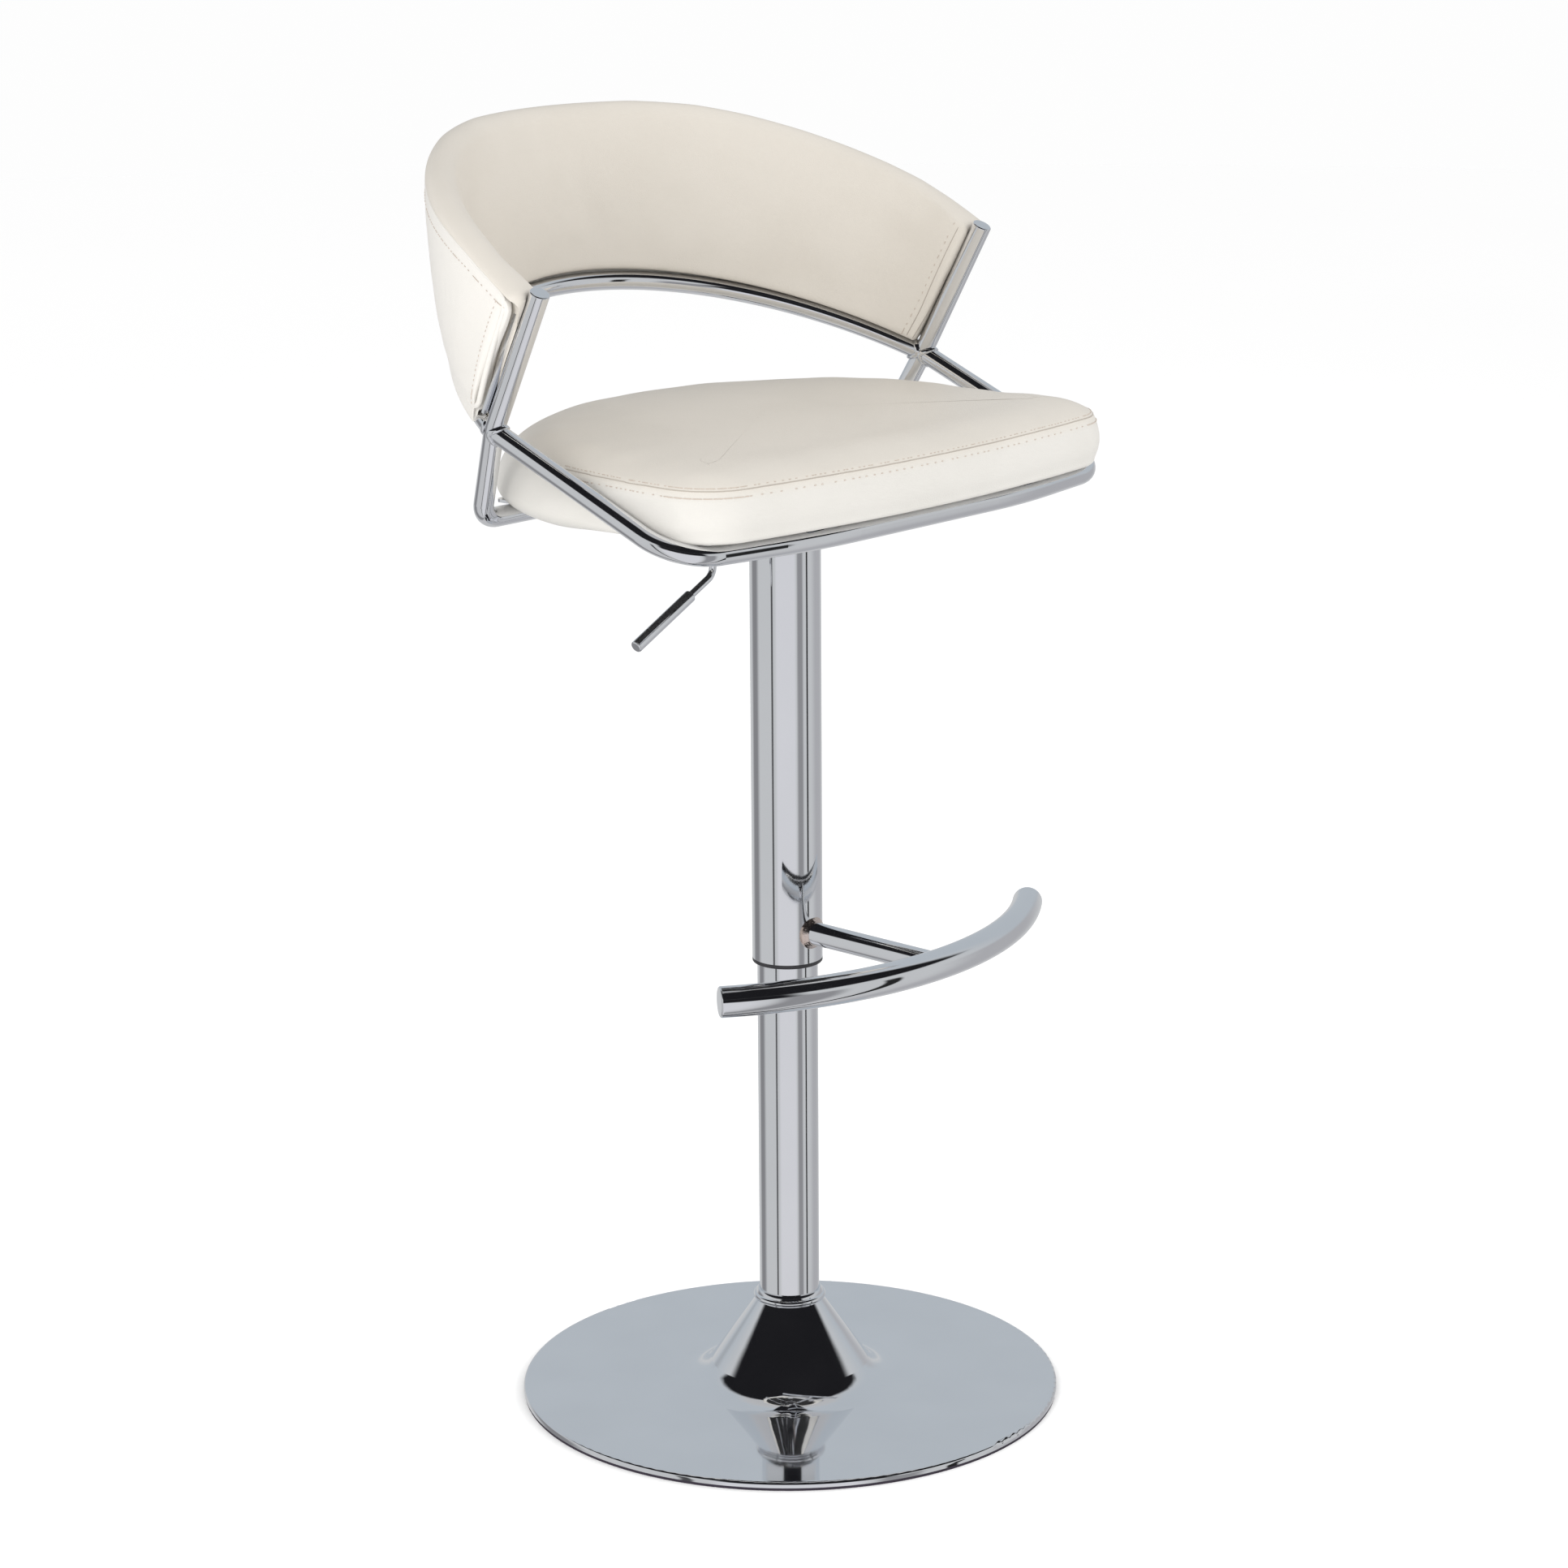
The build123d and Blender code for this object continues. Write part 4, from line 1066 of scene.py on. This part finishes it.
def finish_back(pad, cover):
    """Seams, stitches and the folded edges of the two ends."""
    surface = surface_of(pad)
    for left in (False, True):
        for inset in END_SEAMS:
            line, _ = settle(pad_end_line(inset, left), surface)
            press_groove(pad, line, 0.0011, 0.0009)
    subdivide(pad)
    subdivide(cover)
    pad_surface, cover_surface = surface_of(pad), surface_of(cover)
    seam, seam_normals = settle(top_seam_line(OUTSIDE, 0.0, 0.006), cover_surface, -0.0001)
    row, row_normals = settle(top_seam_line(OUTSIDE + 0.002, 0.0097, 0.012), cover_surface)
    pieces = [
        pad,
        cover,
        # the top welt is in the cover's lighter tint: painted light
        ribbon_tube("back_top_seam", seam, seam_normals, 0.0026, 0.0022, LIT_COVER_LEATHER),
        stitch_row("back_top_stitches", row, row_normals, thick=0.0007),
    ]
    for left, side in ((False, "right"), (True, "left")):
        pieces += finish_back_end(left, side, pad_surface, cover_surface)
    return pieces


# ---- weld beads --------------------------------------------------------------------------------
def weld_bead(name, joint, tube, upright):
    """A rippled bead round a tube, where it leaves the surface of an upright."""
    ahead = tube / np.linalg.norm(tube)
    across = np.cross(ahead, upright)
    across /= np.linalg.norm(across)
    over = np.cross(across, ahead)
    slope = ahead - np.dot(ahead, upright) * upright
    a = np.dot(slope, slope)
    bead, normals = [], []
    for turn in np.linspace(0, 2 * math.pi, 72, endpoint=False):
        ray = math.cos(turn) * across + math.sin(turn) * over
        # slide along the tube until this side of it leaves the upright
        flat = ray * TUBE_RADIUS - np.dot(ray * TUBE_RADIUS, upright) * upright
        b = np.dot(flat, slope)
        c = np.dot(flat, flat) - (TUBE_RADIUS + 0.0006) ** 2
        reach = (-b + math.sqrt(max(0.0, b * b - a * c))) / a
        ripple = 0.00012 * math.sin(turn * 18)
        bead.append(joint + ray * (TUBE_RADIUS + 0.0004) + ahead * (reach + ripple))
        normals.append(ray)
    return ribbon_tube(name, bead, normals, 0.0052, 0.0026, CHROME, closed=True)


def make_weld_beads():
    """A bead round each end of the side and back tubes, where it meets an upright."""
    pieces = []
    side_tube = np.array([0.0, SIDE_FRONT_Y - JOINT_Y, SIDE_FRONT_Z - JOINT_Z])
    # the back tube leaves the joint rearwards and up, and already turns in
    back_tube = np.array([-BACK_TURN_IN, BACK_MIDDLE_Y - JOINT_Y, BACK_MIDDLE_Z - JOINT_Z])
    for side, word in ((1, "right"), (-1, "left")):
        joint = np.array([side * JOINT_X, JOINT_Y, JOINT_Z])
        upright = np.array([side * (CAP_X - JOINT_X), CAP_Y - JOINT_Y, CAP_Z - JOINT_Z])
        upright /= np.linalg.norm(upright)
        for tube, end in ((side_tube, "front"), (back_tube * (side, 1, 1), "rear")):
            pieces.append(weld_bead(f"weld_bead_{end}_{word}", joint, tube, upright))
    return pieces


# ---- set, light and camera ---------------------------------------------------------------------
def make_floor():
    """A pale disc on which the stool stands, seen by the camera but not by the chrome."""
    rings, count = 40, 128
    vertices = [np.array([0.0, 0.0, 0.0])]
    for ring in range(1, rings + 1):
        radius = FLOOR_RADIUS * (ring / rings) ** 1.5
        for a in 2 * math.pi * np.arange(count) / count:
            vertices.append(np.array([radius * math.cos(a), radius * math.sin(a), 0.0]))
    faces = [(0, 1 + j, 1 + (j + 1) % count) for j in range(count)]
    faces += ring_faces(rings, count, 1)
    look = material("pale_floor", floor_look, Specular_IOR_Level=0.0)
    made = new_object("floor", vertices, faces, look, smooth=False)
    made.visible_glossy = False
    return made


def view_angles(nodes):
    """Azimuth, 0 towards the camera and positive to its right, and elevation, both in degrees."""
    facing = nodes.add("ShaderNodeTexCoord").outputs["Generated"]

    def along(direction):
        inputs = {0: facing, 1: direction}
        return nodes.add(
            "ShaderNodeVectorMath", inputs, operation="DOT_PRODUCT"
        ).outputs["Value"]

    to_camera = Vector((-CAMERA_AHEAD[0], -CAMERA_AHEAD[1], 0)).normalized()
    to_right = Vector((CAMERA_AHEAD[1], -CAMERA_AHEAD[0], 0)).normalized()
    degree = 180 / math.pi
    azimuth = nodes.math("ARCTAN2", along(to_right), along(to_camera))
    elevation = nodes.math("ARCSINE", along((0, 0, 1)))
    return nodes.math("MULTIPLY", azimuth, degree), nodes.math("MULTIPLY", elevation, degree)


def band(nodes, value, low, high, soft):
    """1 between two values and 0 outside them."""
    rise = nodes.spread(value, low - soft, low + soft)
    fall = nodes.spread(value, high - soft, high + soft)
    return nodes.math("SUBTRACT", rise, fall, clamp=True)


def studio_seen_by_chrome(nodes):
    """The studio in reflections: grey walls, flags, and a dark ceiling and end of the room."""
    azimuth, elevation = view_angles(nodes)
    # the zenith and the floor are dimmer than the walls, and the far wall is cooler
    up = nodes.spread(elevation, 30.0, 85.0)
    shown = nodes.mix(up, colour(0.60, 0.61, 0.62), colour(0.50, 0.50, 0.51))
    down = nodes.spread(elevation, -12.0, -50.0)
    shown = nodes.mix(down, shown, colour(0.58, 0.58, 0.59))
    behind = nodes.spread(nodes.math("ABSOLUTE", azimuth), 95.0, 135.0)
    far = nodes.math("MULTIPLY", behind, band(nodes, elevation, 2.0, 60.0, 5.0))
    shown = nodes.mix(far, shown, colour(0.50, 0.54, 0.58))
    low_zone = nodes.math("SUBTRACT", 1.0, nodes.spread(elevation, 4.0, 14.0))
    for low, high, soft, shade in FLAGS:
        flag = nodes.math("MULTIPLY", band(nodes, azimuth, low, high, soft), low_zone)
        shown = nodes.mix(flag, shown, colour(shade, shade, shade * 1.04))
    ceiling_high = band(nodes, elevation, 27.0, 78.0, 3.0)
    ceiling = nodes.math("MULTIPLY", ceiling_high, band(nodes, azimuth, -118.0, 112.0, 6.0))
    room_high = band(nodes, elevation, 7.0, 30.0, 2.5)
    room = nodes.math("MULTIPLY", room_high, band(nodes, azimuth, -30.0, 44.0, 5.0))
    dark = nodes.math("MAXIMUM", ceiling, room)
    return nodes.mix(dark, shown, colour(0.012, 0.012, 0.014))


def make_world():
    """A white studio, in which only reflections see the dark parts that chrome needs."""
    world = bpy.data.worlds.new("studio")
    bpy.context.scene.world = world
    world.use_nodes = True
    nodes = Nodes(world.node_tree)
    path = nodes.add("ShaderNodeLightPath").outputs
    # the light that falls on things is even and white
    reflected = studio_seen_by_chrome(nodes)
    light = nodes.mix(path["Is Glossy Ray"], colour(1.0, 1.0, 1.0), reflected)
    light = nodes.mix(path["Is Camera Ray"], light, colour(BACKDROP, BACKDROP, BACKDROP))
    background = nodes.add("ShaderNodeBackground", {"Color": light, "Strength": 1.0})
    output = nodes.add("ShaderNodeOutputWorld")
    world.node_tree.links.new(background.outputs[0], output.inputs["Surface"])


def make_light(name, place, target, size, power):
    lamp = bpy.data.lights.new(name, "AREA")
    lamp.shape = "RECTANGLE"
    lamp.size, lamp.size_y = size
    lamp.energy = power
    made = bpy.data.objects.new(name, lamp)
    bpy.context.scene.collection.objects.link(made)
    made.visible_glossy = False
    made.location = place
    made.rotation_euler = (Vector(target) - Vector(place)).to_track_quat("-Z", "Y").to_euler()
    return made


def make_camera():
    data = bpy.data.cameras.new("camera")
    data.sensor_width = 36.0
    data.lens = CAMERA_LENS
    data.clip_end = 50.0
    made = bpy.data.objects.new("camera", data)
    bpy.context.scene.collection.objects.link(made)
    bpy.context.scene.camera = made
    flat = Vector((*CAMERA_AHEAD, 0)).normalized()
    ahead = flat * math.cos(CAMERA_PITCH) - Vector((0, 0, 1)) * math.sin(CAMERA_PITCH)
    right = ahead.cross(Vector((0, 0, 1))).normalized()
    up = right.cross(ahead)
    turned = right * math.cos(CAMERA_ROLL) + up * math.sin(CAMERA_ROLL)
    upward = up * math.cos(CAMERA_ROLL) - right * math.sin(CAMERA_ROLL)
    turn = Matrix((turned, upward, -ahead)).transposed().to_4x4()
    made.matrix_world = Matrix.Translation(CAMERA_PLACE) @ turn


# ---- build -------------------------------------------------------------------------------------
make_camera()
make_world()
make_floor()
make_light("key", (-3.2, -1.0, 1.4), (0, 0, 0.75), (1.8, 1.8), 50.0)
make_light("fill", (0.9, -3.2, 1.9), (0, 0, 0.7), (1.8, 1.8), 20.0)
make_light("side", (3.0, -1.3, 2.1), (-0.2, 0, 0.9), (1.6, 1.6), 26.0)
bpy.context.scene.view_settings.view_transform = "Standard"

dress_cad_nodes()

cushion = make_cushion()
back_pad, back_cover = make_back()
seat_pieces = finish_cushion(cushion)
back_pieces = finish_back(back_pad, back_cover)
for piece in seat_pieces + back_pieces:
    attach(piece, "seat_column")
for bead in make_weld_beads():
    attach(bead, "seat_column")
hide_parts("seat_cushion")
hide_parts("back_pad")
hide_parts("back_cover")
